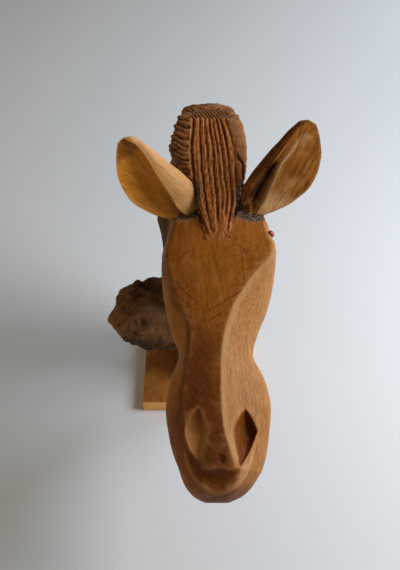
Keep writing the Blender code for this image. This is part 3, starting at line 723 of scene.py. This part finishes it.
# Sawn off level where it stands on the board
bm = bmesh.new()
bm.from_mesh(mesh)
cut = bmesh.ops.bisect_plane(
    bm,
    geom=bm.verts[:] + bm.edges[:] + bm.faces[:],
    plane_co=(0, 0, FOOT_Z),
    plane_no=(0, 0, -1),
    clear_outer=True,
)
rim = [e for e in cut["geom_cut"] if isinstance(e, bmesh.types.BMEdge)]
bmesh.ops.holes_fill(bm, edges=rim, sides=0)
bmesh.ops.triangulate(bm, faces=bm.faces)
bm.to_mesh(mesh)
bm.free()
carving = add_object("carving", mesh)
thin = carving.modifiers.new("thin", "DECIMATE")
thin.ratio = min(1, SKIN_TRIANGLES / len(mesh.polygons))
horse = add_object("carved_head", evaluated(carving))
mesh = horse.data
mesh.shade_smooth()

# Values kept on the vertices for the material. Places are along, across and off the face, in the head rows'
# millimetres, and each pair is where a value starts and where it is full.
FACE_SIDES = (-44, -34)         # off the face, where its planes end
FACE_TOP = (8, 24)              # along, below the ears
HEARTWOOD_START = (118, 165)    # along, where the bridge darkens
BRIDGE_END = (274, 278)
CHIN_FADE = (306, 282)
LIP_RIM = (0.98, 0.86)          # of the lip's rings
LIP_STREAK = 0.93
RING_AXIS = -14                 # across, where the growth rings' Vs point down the bridge
RING_PITCH = 11
DRIFT = 7                       # how far the edges of the darker wood wander
DRIFT_CELL = 0.022

points, normals = vertex_arrays(mesh)
on_mane, lock, run, strand, forelock = mane_locks(points)
natural, carved, _, pit = driftwood(points)
along, across, out = in_head_frame(points)
up = (points[:, 2] - FOOT_Z) / UP
scoop = nostrils(points, normals)
crest, lip_ring, from_notch, _ = lips(points, normals)
coarse, fine = relief(mesh, 12), relief(mesh, 3)
rows = np.array(HEAD_ROWS)
ridge_left = np.interp(along, rows[:, 0], rows[:, 3])
ridge_right = np.interp(along, rows[:, 0], rows[:, 4])
beside = across - ridge_right
face = ease(out, *FACE_SIDES) * ease(along, *FACE_TOP)
drift = DRIFT * noise(points, DRIFT_CELL)

# Dark heartwood down the bridge and a little on the forehead's right edge, and dark painted shade in the
# horse's left nostril
past_ridge = ease(beside, -0.5, 1.0) * ease(along + drift, *CHIN_FADE)
past_ridge *= 1 - ease(along - 0.25 * across, *BRIDGE_END) * ease(lip_ring, *LIP_RIM)
bridge = ease(along + drift, *HEARTWOOD_START) * (1 - past_ridge)
bridge *= 1 - 0.5 * ease(beside + 0.4 * drift, -17, -4) * ease(along, 250, 175)
heart = 0.35 * ease(across + drift, ridge_left * 0.35, ridge_left) * (1 - bridge) + bridge
heart -= bridge * 0.7 * ease(across + drift, ridge_left * 0.8, ridge_left * 1.4)
heart -= bridge * 0.2 * ease(along, 270, 277)
# The horse's right nostril is kept clear of heartwood, so that its painted light shows
heart *= 1 - 0.95 * ease(scoop, 0.01, 0.08) * ease(across, 0, -8) * ease(along + drift, 215, 250)
# Painted shade in the horse's left nostril, laid in with the heartwood's colour
nostril_shade = ease(scoop, 0.02, 0.13) * ease(across, 8, 13)
heart = np.maximum(heart, 0.9 * nostril_shade)
# Painted light: the horse's right side plane, which faces away from the window, is painted lighter and
# warmer
side = 0.6 * ease(ridge_left - across + 0.6 * drift, 0.5, 7)
side *= ease(along, 55, 95) * ease(along + drift, 232, 190)

# Painted highlights where the window catches the wood: a pale strip beside the right ridge, the lip's crest
# and light streaks along the lip, and painted light inside the horse's right nostril
ridge_highlight = ease(beside, -0.3, 0.9) * ease(beside + 0.35 * drift, 7.5, 3.5) * ease(along, 60, 84) * (1 - nostril_shade)
painted_highlight = 0.8 * ridge_highlight * ease(along, 276, 266) + crest * (0.35 + 0.6 * ease(across, -5, 12))
painted_highlight += 0.5 * ease(scoop, 0.0, 0.1) * ease(across, -8, -15) * ease(along, 222, 255)
streak = ease(noise(np.stack([lip_ring * 46, across / 10, 0 * across], 1), 1.0), -0.5, 0.1)
streak *= np.exp(-(((lip_ring - LIP_STREAK) / 0.06) ** 2)) * ease(across, 0, 10) * ease(along, 262, 274)
painted_highlight += 1.2 * streak

# The natural surface, which runs up the neck to the mane. On the horse's right it takes in the side of the
# neck, which is also painted darker as shade
ragged_up = up + 14 * noise(points, 0.014)
shaded_neck_side = ease(-across, 56, 62) * ease(-out, 44, 55) * ease(up, 165, 195)
weathered = (1 - carved) * ease(ragged_up, 350, 334) * (1 - on_mane)
weathered = np.maximum.reduce([natural, weathered, 0.6 * on_mane * (1 - forelock), shaded_neck_side])

# Darker in the hollows: partly oil gathered in the grooves, the notch and between the locks, and partly
# painted shade there; painted shade deep in the horse's left nostril, under the burl and the chin, and down
# the horse's right side of the trunk and neck
hollow = np.maximum.reduce(
    [
        ease(coarse, -0.10, -0.9) * (1 - face),
        0.65 * ease(from_notch, 1.2, 0.6) * face,
        0.4 * ease(scoop, 0.35, 0.95) * ease(across - 0.15 * (along - 240), 14, 26),
        on_mane * ease(-lock, 0.3, 1.1),
        0.9 * ease(-points[:, 0], 0.03, 0.05) * ease(points[:, 2], 0.150, 0.105),
        0.65 * (1 - carved) * ease(-points[:, 0], 0.026, 0.038) * ease(up, 150, 190),
        0.35 * ease(out, -34, -42) * ease(along, 272, 292),
        0.6 * shaded_neck_side,
    ]
)

# Growth rings are cut through at a slope, so they show as nested Vs that point down the bridge
ring = along + np.where(across > RING_AXIS, 0.65, 1.0) * abs(across - RING_AXIS)
ring += 4 * noise(points, 0.016) + 1.2 * noise(points, 0.006)
ringed = ease(ring, 108, 118) * ease(ring, 150, 143) * ease(noise(points, 0.015), -0.6, -0.1)
painted = {
    "heart": face * heart * (1 - side),
    "side": face * side,
    # Paler, less saturated wood past the right ridge: partly sapwood and partly a painted sheen from the
    # window
    "sapwood_and_sheen": face * past_ridge * (1 - nostril_shade) * (1 - 0.3 * ease(along + drift, 165, 205)),
    "painted_highlight": np.minimum(1, ease(out, -52, -44) * ease(along, *FACE_TOP) * painted_highlight),
    "hollow": hollow,
    # Convex edges, lighter both from wear and as painted highlight
    "worn_and_highlit": ease(fine, 0.05, 0.25) * (1 - 0.6 * on_mane) * ease(from_notch, 1.3, 2.6),
    "mane": on_mane,
    "natural": weathered,
    "pit": pit,
    "glue": ear_beds(points, 0.56, 0.42),
    "tip": ease(-points[:, 0], 0.085, 0.115),
    "ring": ring / RING_PITCH,
    "ringed": face * ringed * (1 - past_ridge),
    "hair": np.stack([strand * np.where(forelock > 0.5, 13, 34), run / 12, 0 * run], 1),
    "low": ease(along + 2.2 * drift, 112, 130),
    "grain": np.stack([across, along, out], 1),
}

# Root wood, cut with a knife and wiped with oil: a low sheen, not a varnish, so roughness is about a half
# and its reflection is weaker than bare plastic's. The eye sees warm orange-brown with darker heartwood
# down the bridge, paler sapwood on the horse's left with a painted sheen over it, thin wandering growth
# lines, and short knife marks. Highlights along the ridge and the lip, light on the horse's right side
# plane and shade in the hollows are painted into the colour.
WOOD = "#9f5a0e"
WOOD_WARM = "#a8601c"
HEARTWOOD = "#6b3209"
SAPWOOD_AND_SHEEN = "#b07840"
GROWTH_LINE = "#4a2008"
# Rubbed pale wood, also the colour of the painted highlights
RUBBED_EDGE_AND_HIGHLIGHT = "#c89158"
# Oil in the hollows, and the painted shade there
OIL_AND_SHADE_IN_HOLLOWS = "#381405"
HAIR_LINE = "#6c2808"
MANE_WARM = "#b2601a"
# Painted light on the horse's right side plane
SIDE_PLANE_PAINTED_LIGHT = "#d28a36"
BARK = "#7e5836"
BARK_SHADE = "#2a1a0e"
BARK_GREY = "#7c6e5e"
BARK_ORANGE = "#96602f"
# Painted shade inside the burl's hollow and worm hole
PIT_SHADE = "#0c0704"
CREVICE = "#1d120b"
GLUE_GREY = "#9a8f80"
FIBRE_WIDTH = 0.9       # mm, and 12 mm long. Real fibres are a third of that, too fine to show.
KNIFE_PITCH = 1.1       # mm between knife marks, which are about 13 mm long
GROWTH_PITCH = 34.0     # mm between growth lines on the face

carved_wood, tree, shader = new_material("oiled hand-carved root wood")
masks = paint(mesh, tree, painted)
# Patterns: name, turn in the face, size of a cell across and along in mm, detail, distortion
patterns = {}
for name, turn, width, length, detail, distortion in (
    ("blotches", 0.3, 26, 40, 3, 0.4),
    ("fibres", 0.05, FIBRE_WIDTH, 12, 2, 0.3),
    ("flecks", -0.15, 2.2, 9, 3, 0.6),
    ("figure", 0.12, 5, 60, 3, 0.8),
    ("knife marks", -0.85, KNIFE_PITCH, 13, 2, 0.5),
    ("cross marks", 0.55, KNIFE_PITCH, 13, 2, 0.4),
    ("growth", 0.5, GROWTH_PITCH, 70, 1, 1.2),
):
    turned = add_node(tree, "Mapping", {"Vector": masks["grain"], "Rotation": (0, 0, turn)}).outputs[0]
    scale = (1 / width, 1 / length, 1 / width)
    sized = add_node(tree, "Mapping", {"Vector": turned, "Scale": scale}).outputs[0]
    cells = {"Vector": sized, "Scale": 1.0, "Detail": detail, "Distortion": distortion}
    patterns[name] = add_node(tree, "TexNoise", cells).outputs["Fac"]
cells = {"Vector": masks["hair"], "Scale": 1.0, "Detail": 2.0}
patterns["hair"] = add_node(tree, "TexNoise", cells).outputs["Fac"]
# The natural wood's: name, cells per metre across, through and up, detail
place = add_node(tree, "TexCoord", {}).outputs["Object"]
for name, scale, detail in (
    ("bark planes", (38, 38, 26), 2),
    ("bark streaks", (60, 60, 30), 3),
    ("bark fibres", (520, 520, 60), 3),
    ("crumbs", (900, 900, 900), 2),
):
    sized = add_node(tree, "Mapping", {"Vector": place, "Scale": scale}).outputs[0]
    cells = {"Vector": sized, "Scale": 1.0, "Detail": detail}
    patterns[name] = add_node(tree, "TexNoise", cells).outputs["Fac"]

# A dark line at each growth ring, and thinner stray ones where the slow growth pattern crosses its middle
patterns["ring line"] = add_node(tree, "Math", {0: masks["ring"], 1: 0.5}, operation="PINGPONG").outputs[0]
off_middle = add_node(tree, "Math", {0: patterns["growth"], 1: 0.5}, operation="SUBTRACT").outputs[0]
patterns["growth line"] = add_node(tree, "Math", {0: off_middle}, operation="ABSOLUTE").outputs[0]
# The knife marks lean one way on the forehead and the other way below it
leaning = {0: masks["low"], 2: patterns["knife marks"], 3: patterns["cross marks"]}
patterns["marks"] = add_node(tree, "Mix", leaning).outputs[0]

# The cut wood, layer over layer
cut_layers = (
    ("blotches", 0.42, 0.66, 0.7, WOOD_WARM, None),
    ("figure", 0.54, 0.70, 0.35, SAPWOOD_AND_SHEEN, None),
    (None, 0, 1, 1.0, HEARTWOOD, "heart"),
    ("figure", 0.50, 0.34, 0.40, HEARTWOOD, None),
    ("growth line", 0.007, 0.001, 0.45, GROWTH_LINE, None),
    ("ring line", 0.075, 0.02, 0.95, GROWTH_LINE, "ringed"),
    # Painted light on the horse's right side plane
    (None, 0, 1, 0.9, SIDE_PLANE_PAINTED_LIGHT, "side"),
    # Sapwood with a painted sheen
    (None, 0, 1, 0.95, SAPWOOD_AND_SHEEN, "sapwood_and_sheen"),
    ("figure", 0.52, 0.38, 0.30, WOOD, "sapwood_and_sheen"),
    ("figure", 0.56, 0.70, 0.40, RUBBED_EDGE_AND_HIGHLIGHT, "sapwood_and_sheen"),
    ("flecks", 0.50, 0.30, 0.22, HEARTWOOD, None),
    ("fibres", 0.50, 0.28, 0.30, GROWTH_LINE, None),
    ("fibres", 0.50, 0.68, 0.6, RUBBED_EDGE_AND_HIGHLIGHT, "sapwood_and_sheen"),
    ("marks", 0.50, 0.32, 0.24, GROWTH_LINE, None),
    ("marks", 0.53, 0.72, 0.12, RUBBED_EDGE_AND_HIGHLIGHT, None),
    (None, 0, 1, 0.45, MANE_WARM, "mane"),
    ("hair", 0.50, 0.34, 0.75, HAIR_LINE, "mane"),
    ("hair", 0.52, 0.70, 0.40, RUBBED_EDGE_AND_HIGHLIGHT, "mane"),
    # Painted highlights on the ridge and the lip, and painted light in a nostril
    (None, 0, 1, 0.85, RUBBED_EDGE_AND_HIGHLIGHT, "painted_highlight"),
    # Wear and painted highlight on convex edges
    (None, 0, 1, 0.35, RUBBED_EDGE_AND_HIGHLIGHT, "worn_and_highlit"),
    # Oil in the grooves, and painted shade in hollows and under things
    (None, 0, 1, 0.8, OIL_AND_SHADE_IN_HOLLOWS, "hollow"),
)
# The natural surface of the trunk, neck and burl
bark_layers = (
    ("bark planes", 0.48, 0.62, 0.45, BARK_ORANGE, None),
    ("bark streaks", 0.50, 0.34, 0.6, BARK_SHADE, None),
    ("bark streaks", 0.54, 0.68, 0.4, BARK_GREY, None),
    ("bark fibres", 0.50, 0.30, 0.4, BARK_SHADE, None),
    (None, 0, 1, 0.6, BARK_ORANGE, "tip"),
    (None, 0, 1, 0.3, BARK_ORANGE, "worn_and_highlit"),
    # Painted shade in the hollows, under the burl and down the horse's right side
    (None, 0, 1, 0.7, BARK_SHADE, "hollow"),
    # Painted shade: the hollow in the burl and the worm hole painted near-black
    (None, 0, 1, 0.95, PIT_SHADE, "pit"),
)
colour = layered(tree, linear(WOOD), patterns, masks, cut_layers)
bark = layered(tree, linear(BARK), patterns, masks, bark_layers)
colour = add_node(tree, "Mix", {0: masks["natural"], 6: colour, 7: bark}, data_type="RGBA").outputs[2]

# Glue and sawdust round the ears: grey-white crumbs over a dark crevice
spans = {"Value": patterns["crumbs"], "From Min": 0.52, "From Max": 0.60}
crumb = add_node(tree, "MapRange", spans).outputs[0]
dusty = {0: crumb, 6: linear(CREVICE), 7: linear(GLUE_GREY)}
dust = add_node(tree, "Mix", dusty, data_type="RGBA").outputs[2]
crevice = add_node(tree, "Math", {0: masks["glue"], 1: 0.85}, operation="MULTIPLY").outputs[0]
colour = add_node(tree, "Mix", {0: crevice, 6: colour, 7: dust}, data_type="RGBA").outputs[2]
tree.links.new(colour, shader.inputs["Base Color"])

rougher = (("natural", 0.22), ("glue", 0.3), ("hollow", 0.2))
oiled(tree, shader, patterns["fibres"], OILED_ROUGHNESS, masks, rougher)
# Fibres and knife marks are 0.1 to 0.2 mm deep, hairs 0.5 mm, and the natural surface about 1 mm
steps = (
    ("fibres", 0.00010, None),
    ("marks", 0.00016, None),
    ("hair", 0.0005, "mane"),
    ("bark fibres", 0.0007, "natural"),
    ("bark streaks", 0.0012, "natural"),
    ("crumbs", 0.0005, "glue"),
)
raised(tree, shader, patterns, masks, steps)
mesh.materials.clear()
mesh.materials.append(carved_wood)
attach(horse, "root")
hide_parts("carved_horse_head")


# Ears: each is a leaf carved from a lighter offcut and glued into a rough bed. The inner edge is rolled
# into a thick lip, and the hollow beside it faces out and forward. The left one has a deep slot and a low
# ridge in place of a hollow.

# Up the blade: inner edge, outer edge, lip line, lip height, slot behind the lip, middle of the hollow and
# its depth, rim, back
EAR_ROWS = {
    1: (
        (-14, 12, -13, -2, 5, -5, -8, -5, -3, 8),
        (-2, 18, -22, 4, 9, 1, -7, -7, -2, 10),
        (12, 21, -32, 7, 10, 8, -6, -7, -1, 11),
        (28, 21, -39, 8, 10, 8, -4, -7, -1, 10),
        (44, 19, -43, 8, 9, 4, -1, -6.5, -1, 9),
        (58, 17, -42, 8, 8, -3, 0, -6, -1, 8.5),
        (72, 14, -38, 7, 7, -5, -2, -4.5, -0.5, 8),
        (84, 12, -32, 6, 5, -3.5, -2, -3.5, -0.5, 7),
        (95, 9, -23, 5, 3.5, -2.5, -2, -2.5, 0, 5),
        (103, 5, -15, 1, 2.5, -1.5, -4, -1, 0, 3.5),
        (107, -1, -10, -3, 1, -0.6, -7, -0.3, 0, 1.5),
    ),
    -1: (
        (-14, 12, -13, -3, 6, -3.6, -8.5, -6, -3, 8),
        (-2, 18, -22, -8, 10, -3.6, -15, -6, -3, 10),
        (12, 21, -32, -9, 12, 0.6, -20.5, 1, 0.5, 11),
        (28, 21, -39, -6, 12, 3.6, -22.5, 6, 3, 10),
        (48, 18, -43, -3, 10, 4.2, -22.5, 7, 3.5, 9),
        (66, 15, -40, 0, 8, 3.6, -19.5, 6, 3, 8),
        (82, 12, -33, 3, 6, 2.7, -15, 4.5, 2.2, 7),
        (95, 9, -23, 3, 4, 1.8, -10, 3, 1.5, 5),
        (103, 5, -15, 0, 3, 0.9, -7.5, 1.5, 0.7, 3.5),
        (107, -1, -10, -2, 1, 0, -6, 0, 0, 1.5),
    ),
}
EAR_SOFTNESS = {
    1: (0.9, 0.9, 0.2, 0.35, 0.3, 0.8, 0.4, 0.9, 0.9, 0.85),
    -1: (0.9, 0.9, 0.2, 0.7, 0.9, 0.8, 0.4, 0.9, 0.9, 0.85),
}
# The horse's right ear is painted paler than the left, as painted light on its hollow, which faces away
# from the lamps
EAR_WOOD_WITH_PAINTED_LIGHT = {1: "#a8641f", -1: "#dc8c2c"}
EAR_WARM_WITH_PAINTED_LIGHT = {1: "#c07c30", -1: "#e69c42"}
# Painted shade, near-black painted shade in the slot, and painted highlights on lips, rims and ridges
EAR_SHADE = "#5b2b08"
EAR_SLOT_SHADE = "#160a04"
EAR_HIGHLIGHT = {1: "#e0ae74", -1: "#cf9a62"}
EAR_CONTRAST = {1: 1.0, -1: 0.35}       # how strongly the streaks and marks show
EAR_STROKE_DEPTH = 0.00035
EAR_DENT_DEPTH = 0.00015


def ear(name, side):
    """The leaf: a skin through outlines up the blade, from the root to the tip."""
    root, blade, inward, face = ear_frame(side)
    bottom, top = EAR_ROWS[side][0][0], EAR_ROWS[side][-1][0]
    places = top - (top - bottom) * np.linspace(1, 0, 90) ** 1.4
    rings = []
    for place, row in zip(places, curve(EAR_ROWS[side], places)):
        inner, outer, lip, high, slot, middle, hollow, rim, back = row
        corners = [
            (inner, -1),
            ((inner + lip) / 2 + 1, high * 0.85),
            (lip, high),
            (lip - 3, -slot),
            (middle, -hollow),
            (outer * 0.86, -rim),
            (outer, 0),
            (outer * 0.75, -back * 0.75),
            ((inner + outer) / 2, -back),
            (inner * 0.8, -back * 0.7),
        ]
        outline = rounded(np.array(corners), EAR_SOFTNESS[side], 12)
        centre = root + blade * place * EAR_UP
        rings.append([centre + (inward * w + face * f) * EAR_SIDE for w, f in outline])
    return skin(name, rings)


for side, word in ((1, "left"), (-1, "right")):
    leaf = ear("carved_" + word + "_ear", side)
    mesh = leaf.data
    root, blade, inward, face = ear_frame(side)
    points, normals = vertex_arrays(mesh)
    offset = points - root
    place, width, rise = offset @ blade * 1000, offset @ inward * 1000, offset @ face * 1000
    strokes = noise(np.stack([place / 22 + side, width / 3.2, rise / 3.2], 1), 1.0)
    dents = noise(points + side, 0.006)
    front = ease(normals @ face, -0.1, 0.3)
    lift = EAR_STROKE_DEPTH * strokes * front + EAR_DENT_DEPTH * dents
    mesh.vertices.foreach_set("co", (points + lift[:, None] * normals).ravel())
    mesh.shade_smooth()
    rows = np.array(EAR_ROWS[side])
    lip_line = np.interp(place, rows[:, 0], rows[:, 3])
    outer_edge = np.interp(place, rows[:, 0], rows[:, 2])
    seen = ease(normals @ face, -0.2, 0.2)
    on_lip = seen * ease(width, lip_line - 0.5, lip_line + 1.5)
    shadow_by_lip = seen * ease(width, lip_line - 14, lip_line - 2) * (1 - on_lip) * ease(place, 62, 30)
    at_tip = seen * (1 - on_lip) * ease(place + 4 * noise(points, 0.01), 84, 94)
    rim = seen * ease(width, outer_edge + 3.5, outer_edge + 1)
    # Painted light and shade on each ear: highlights on the lit lip, rim and centre ridge, painted shadow
    # beside the lip, painted shade on the lip band that faces away and near-black painted shade in the
    # slot. The tip of the horse's right ear is painted darker
    if side < 0:
        slot = 0 * width
        painted_highlight = np.maximum(0.8 * on_lip, 0.3 * rim)
        painted_shade_and_dark_tip = np.maximum(0.75 * shadow_by_lip * ease(place, 50, 5), 0.7 * at_tip)
    else:
        centre_line = np.interp(place, rows[:, 0], rows[:, 6])
        slot = ease(width, centre_line + 1, centre_line + 3) * ease(width, lip_line + 2.5, lip_line + 0.5)
        slot *= ease(normals @ face, -0.5, -0.2) * ease(place, 58, 46) * ease(place, -8, 2)
        centre = seen * np.exp(-(((width - centre_line + 1) / 1.7) ** 2)) * ease(place, 98, 75)
        root_end = seen * ease(width, centre_line, centre_line - 3) * ease(place, 32, 12)
        painted_highlight = np.maximum.reduce([centre, root_end, 0.6 * rim])
        painted_shade_and_dark_tip = seen * ease(width, lip_line - 1, lip_line + 1)
    worn_and_highlit = ease(relief(mesh, 4), 0.03, 0.2)
    grain = np.stack([width, place, rise], 1)
    painted = {"painted_highlight": painted_highlight, "painted_shade_and_dark_tip": painted_shade_and_dark_tip, "slot": slot, "worn_and_highlit": worn_and_highlit, "grain": grain}

    # The same wood from a paler offcut, oiled less, so its fibres show as long streaks up the blade
    ear_wood, tree, shader = new_material("oiled hand-carved " + word + " ear wood")
    masks = paint(mesh, tree, painted)
    # Name, size of a cell across and along in mm, detail
    patterns = {}
    for name, cell_width, length, detail in (
        ("blotches", 16, 34, 3),
        ("fibres", FIBRE_WIDTH, 14, 2),
        ("streaks", 3.2, 34, 3),
        ("knife marks", 1.6, 16, 1),
    ):
        turn = (0, 0, 0.12 * side)
        turned = add_node(tree, "Mapping", {"Vector": masks["grain"], "Rotation": turn}).outputs[0]
        scale = (1 / cell_width, 1 / length, 1 / cell_width)
        sized = add_node(tree, "Mapping", {"Vector": turned, "Scale": scale}).outputs[0]
        cells = {"Vector": sized, "Scale": 1.0, "Detail": detail, "Distortion": 0.4}
        patterns[name] = add_node(tree, "TexNoise", cells).outputs["Fac"]
    contrast = EAR_CONTRAST[side]
    layers = (
        ("blotches", 0.42, 0.64, 0.8, EAR_WARM_WITH_PAINTED_LIGHT[side], None),
        # Painted shade and shadow, and a darker tip
        (None, 0, 1, 0.85, EAR_SHADE, "painted_shade_and_dark_tip"),
        ("streaks", 0.52, 0.32, 0.55 * contrast, EAR_SHADE, None),
        # Painted highlights
        (None, 0, 1, 1.0, EAR_HIGHLIGHT[side], "painted_highlight"),
        # Painted shade in the slot
        (None, 0, 1, 0.9, EAR_SLOT_SHADE, "slot"),
        ("streaks", 0.54, 0.72, 0.55 * contrast, EAR_WARM_WITH_PAINTED_LIGHT[side], None),
        ("fibres", 0.50, 0.28, 0.40, EAR_SHADE, None),
        ("knife marks", 0.50, 0.30, 0.35 * contrast, EAR_SHADE, None),
        (None, 0, 1, 0.4, EAR_HIGHLIGHT[side], "worn_and_highlit"),
    )
    colour = layered(tree, linear(EAR_WOOD_WITH_PAINTED_LIGHT[side]), patterns, masks, layers)
    tree.links.new(colour, shader.inputs["Base Color"])
    oiled(tree, shader, patterns["fibres"], OILED_ROUGHNESS, masks, ())
    steps = (
        ("fibres", 0.00012 * contrast, None),
        ("knife marks", 0.00022 * contrast, None),
        ("streaks", 0.0003 * contrast, None),
    )
    raised(tree, shader, patterns, masks, steps)
    mesh.materials.append(ear_wood)
    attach(leaf, "root")
    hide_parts(word + "_ear")


# Eyes: each is a small polished seed bead, glued into a shallow socket so that more than half stands out.
# The skin of a seed is harder and smoother than the wood, so it has the sharpest highlight on the object.
SEED_DARK = "#5c160c"
SEED_LIGHT = "#a23c1e"
SEED_MOTTLE = 500           # cells per metre, so 2 mm each
SEED_ROUGHNESS = (0.18, 0.32)
SEED_IOR = 1.5

bead_finish, tree, shader = new_material("polished red-brown seed")
place = add_node(tree, "TexCoord", {}).outputs["Object"]
sized = add_node(tree, "Mapping", {"Vector": place, "Scale": [SEED_MOTTLE] * 3}).outputs[0]
mottle = add_node(tree, "TexNoise", {"Vector": sized, "Scale": 1.0, "Detail": 3.0}).outputs["Fac"]
spread = add_node(tree, "MapRange", {"Value": mottle, "From Min": 0.35, "From Max": 0.65}).outputs[0]
tints = {0: spread, 6: linear(SEED_DARK), 7: linear(SEED_LIGHT)}
tree.links.new(add_node(tree, "Mix", tints, data_type="RGBA").outputs[2], shader.inputs["Base Color"])
low, high = SEED_ROUGHNESS
rough = {"Value": mottle, "From Min": 0.3, "From Max": 0.7, "To Min": low, "To Max": high}
tree.links.new(add_node(tree, "MapRange", rough).outputs[0], shader.inputs["Roughness"])
shader.inputs["IOR"].default_value = SEED_IOR
for word in ("left", "right"):
    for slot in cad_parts[word + "_eye"].material_slots:
        slot.material = bead_finish


# Base board: a sawn and planed rectangle of the same sort of wood, wiped with the same oil. Its front face
# is painted pale, as painted light on it, and its edges are painted a little paler too. Its corners are
# only broken.
BOARD_WIDTH = 0.158
BOARD_DEPTH = 0.170
BOARD_CHAMFER = 0.0012
BOARD_WOOD = "#b06c2c"
BOARD_WARM = "#ae7234"
BOARD_SHADE = "#6a3f16"
LIT_FRONT_AND_PALE_EDGES = "#ffc172"
BOARD_ROUGHNESS = (0.5, 0.62)
NICK_DEPTH = 0.0004

bm = bmesh.new()
bmesh.ops.create_cube(bm, size=1)
bmesh.ops.scale(bm, vec=(BOARD_WIDTH, BOARD_DEPTH, BOARD_THICKNESS), verts=bm.verts)
bmesh.ops.translate(bm, vec=(0, 0, BOARD_THICKNESS / 2), verts=bm.verts)
bmesh.ops.bevel(bm, geom=bm.edges, offset=BOARD_CHAMFER, segments=3, profile=0.5, affect="EDGES")
long_edges = [e for e in bm.edges if e.calc_length() > 0.1]
bmesh.ops.subdivide_edges(bm, edges=long_edges, cuts=60, use_grid_fill=True)
mesh = bpy.data.meshes.new("sawn_board")
bm.to_mesh(mesh)
bm.free()
points, normals = vertex_arrays(mesh)
inside = np.minimum(
    np.minimum(BOARD_WIDTH / 2 - abs(points[:, 0]), BOARD_DEPTH / 2 - abs(points[:, 1])),
    np.minimum(points[:, 2], BOARD_THICKNESS - points[:, 2]) + BOARD_CHAMFER,
)
nicks = NICK_DEPTH * ease(noise(points, 0.006), 0.1, 0.7) * ease(inside, 0.0022, 0.0012)
nicks *= ease(points[:, 2], 0.003, 0.006)
mesh.vertices.foreach_set("co", (points - nicks[:, None] * normals).ravel())
mesh.shade_smooth()
board = add_object("sawn_board", mesh)
sides = np.array((BOARD_WIDTH / 2, BOARD_DEPTH / 2))
edge = (abs(points[:, :2]) > sides - BOARD_CHAMFER * 0.6).any(1)
from_front = (points[:, 1] + BOARD_DEPTH / 2) / BOARD_CHAMFER
# Painted light on the front face, and the edges a little paler
lit_front_and_pale_edges = np.maximum(ease(from_front, 1.1, 0.4), 0.35 * edge)

board_wood, tree, shader = new_material("oiled sawn and planed board")
place = add_node(tree, "TexCoord", {}).outputs["Object"]
masks = paint(mesh, tree, {"lit_front_and_pale_edges": lit_front_and_pale_edges})
# Cells in mm: across the board, along its grain, which runs from front to back, and through it
patterns = {}
for name, cell, detail in (
    ("figure", (26, 130, 26), 2),
    ("fibres", (0.9, 22, 0.9), 2),
    ("blotches", (22, 40, 22), 2),
    ("saw marks", (1.6, 14, 14), 1),
):
    scale = [1000 / size for size in cell]
    sized = add_node(tree, "Mapping", {"Vector": place, "Scale": scale}).outputs[0]
    cells = {"Vector": sized, "Scale": 1.0, "Detail": detail, "Distortion": 0.3}
    patterns[name] = add_node(tree, "TexNoise", cells).outputs["Fac"]
layers = (
    ("figure", 0.45, 0.60, 0.5, BOARD_WARM, None),
    ("blotches", 0.50, 0.30, 0.5, BOARD_SHADE, None),
    # Painted light on the front face, and paler edges
    (None, 0, 1, 1.0, LIT_FRONT_AND_PALE_EDGES, "lit_front_and_pale_edges"),
    ("fibres", 0.50, 0.28, 0.4, BOARD_SHADE, None),
    ("saw marks", 0.50, 0.30, 0.12, BOARD_SHADE, None),
)
colour = layered(tree, linear(BOARD_WOOD), patterns, masks, layers)
tree.links.new(colour, shader.inputs["Base Color"])
oiled(tree, shader, patterns["fibres"], BOARD_ROUGHNESS, masks, ())
raised(tree, shader, patterns, masks, (("fibres", 0.00015, None), ("saw marks", 0.0001, None)))
mesh.materials.append(board_wood)
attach(board, "root")
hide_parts("base_board")
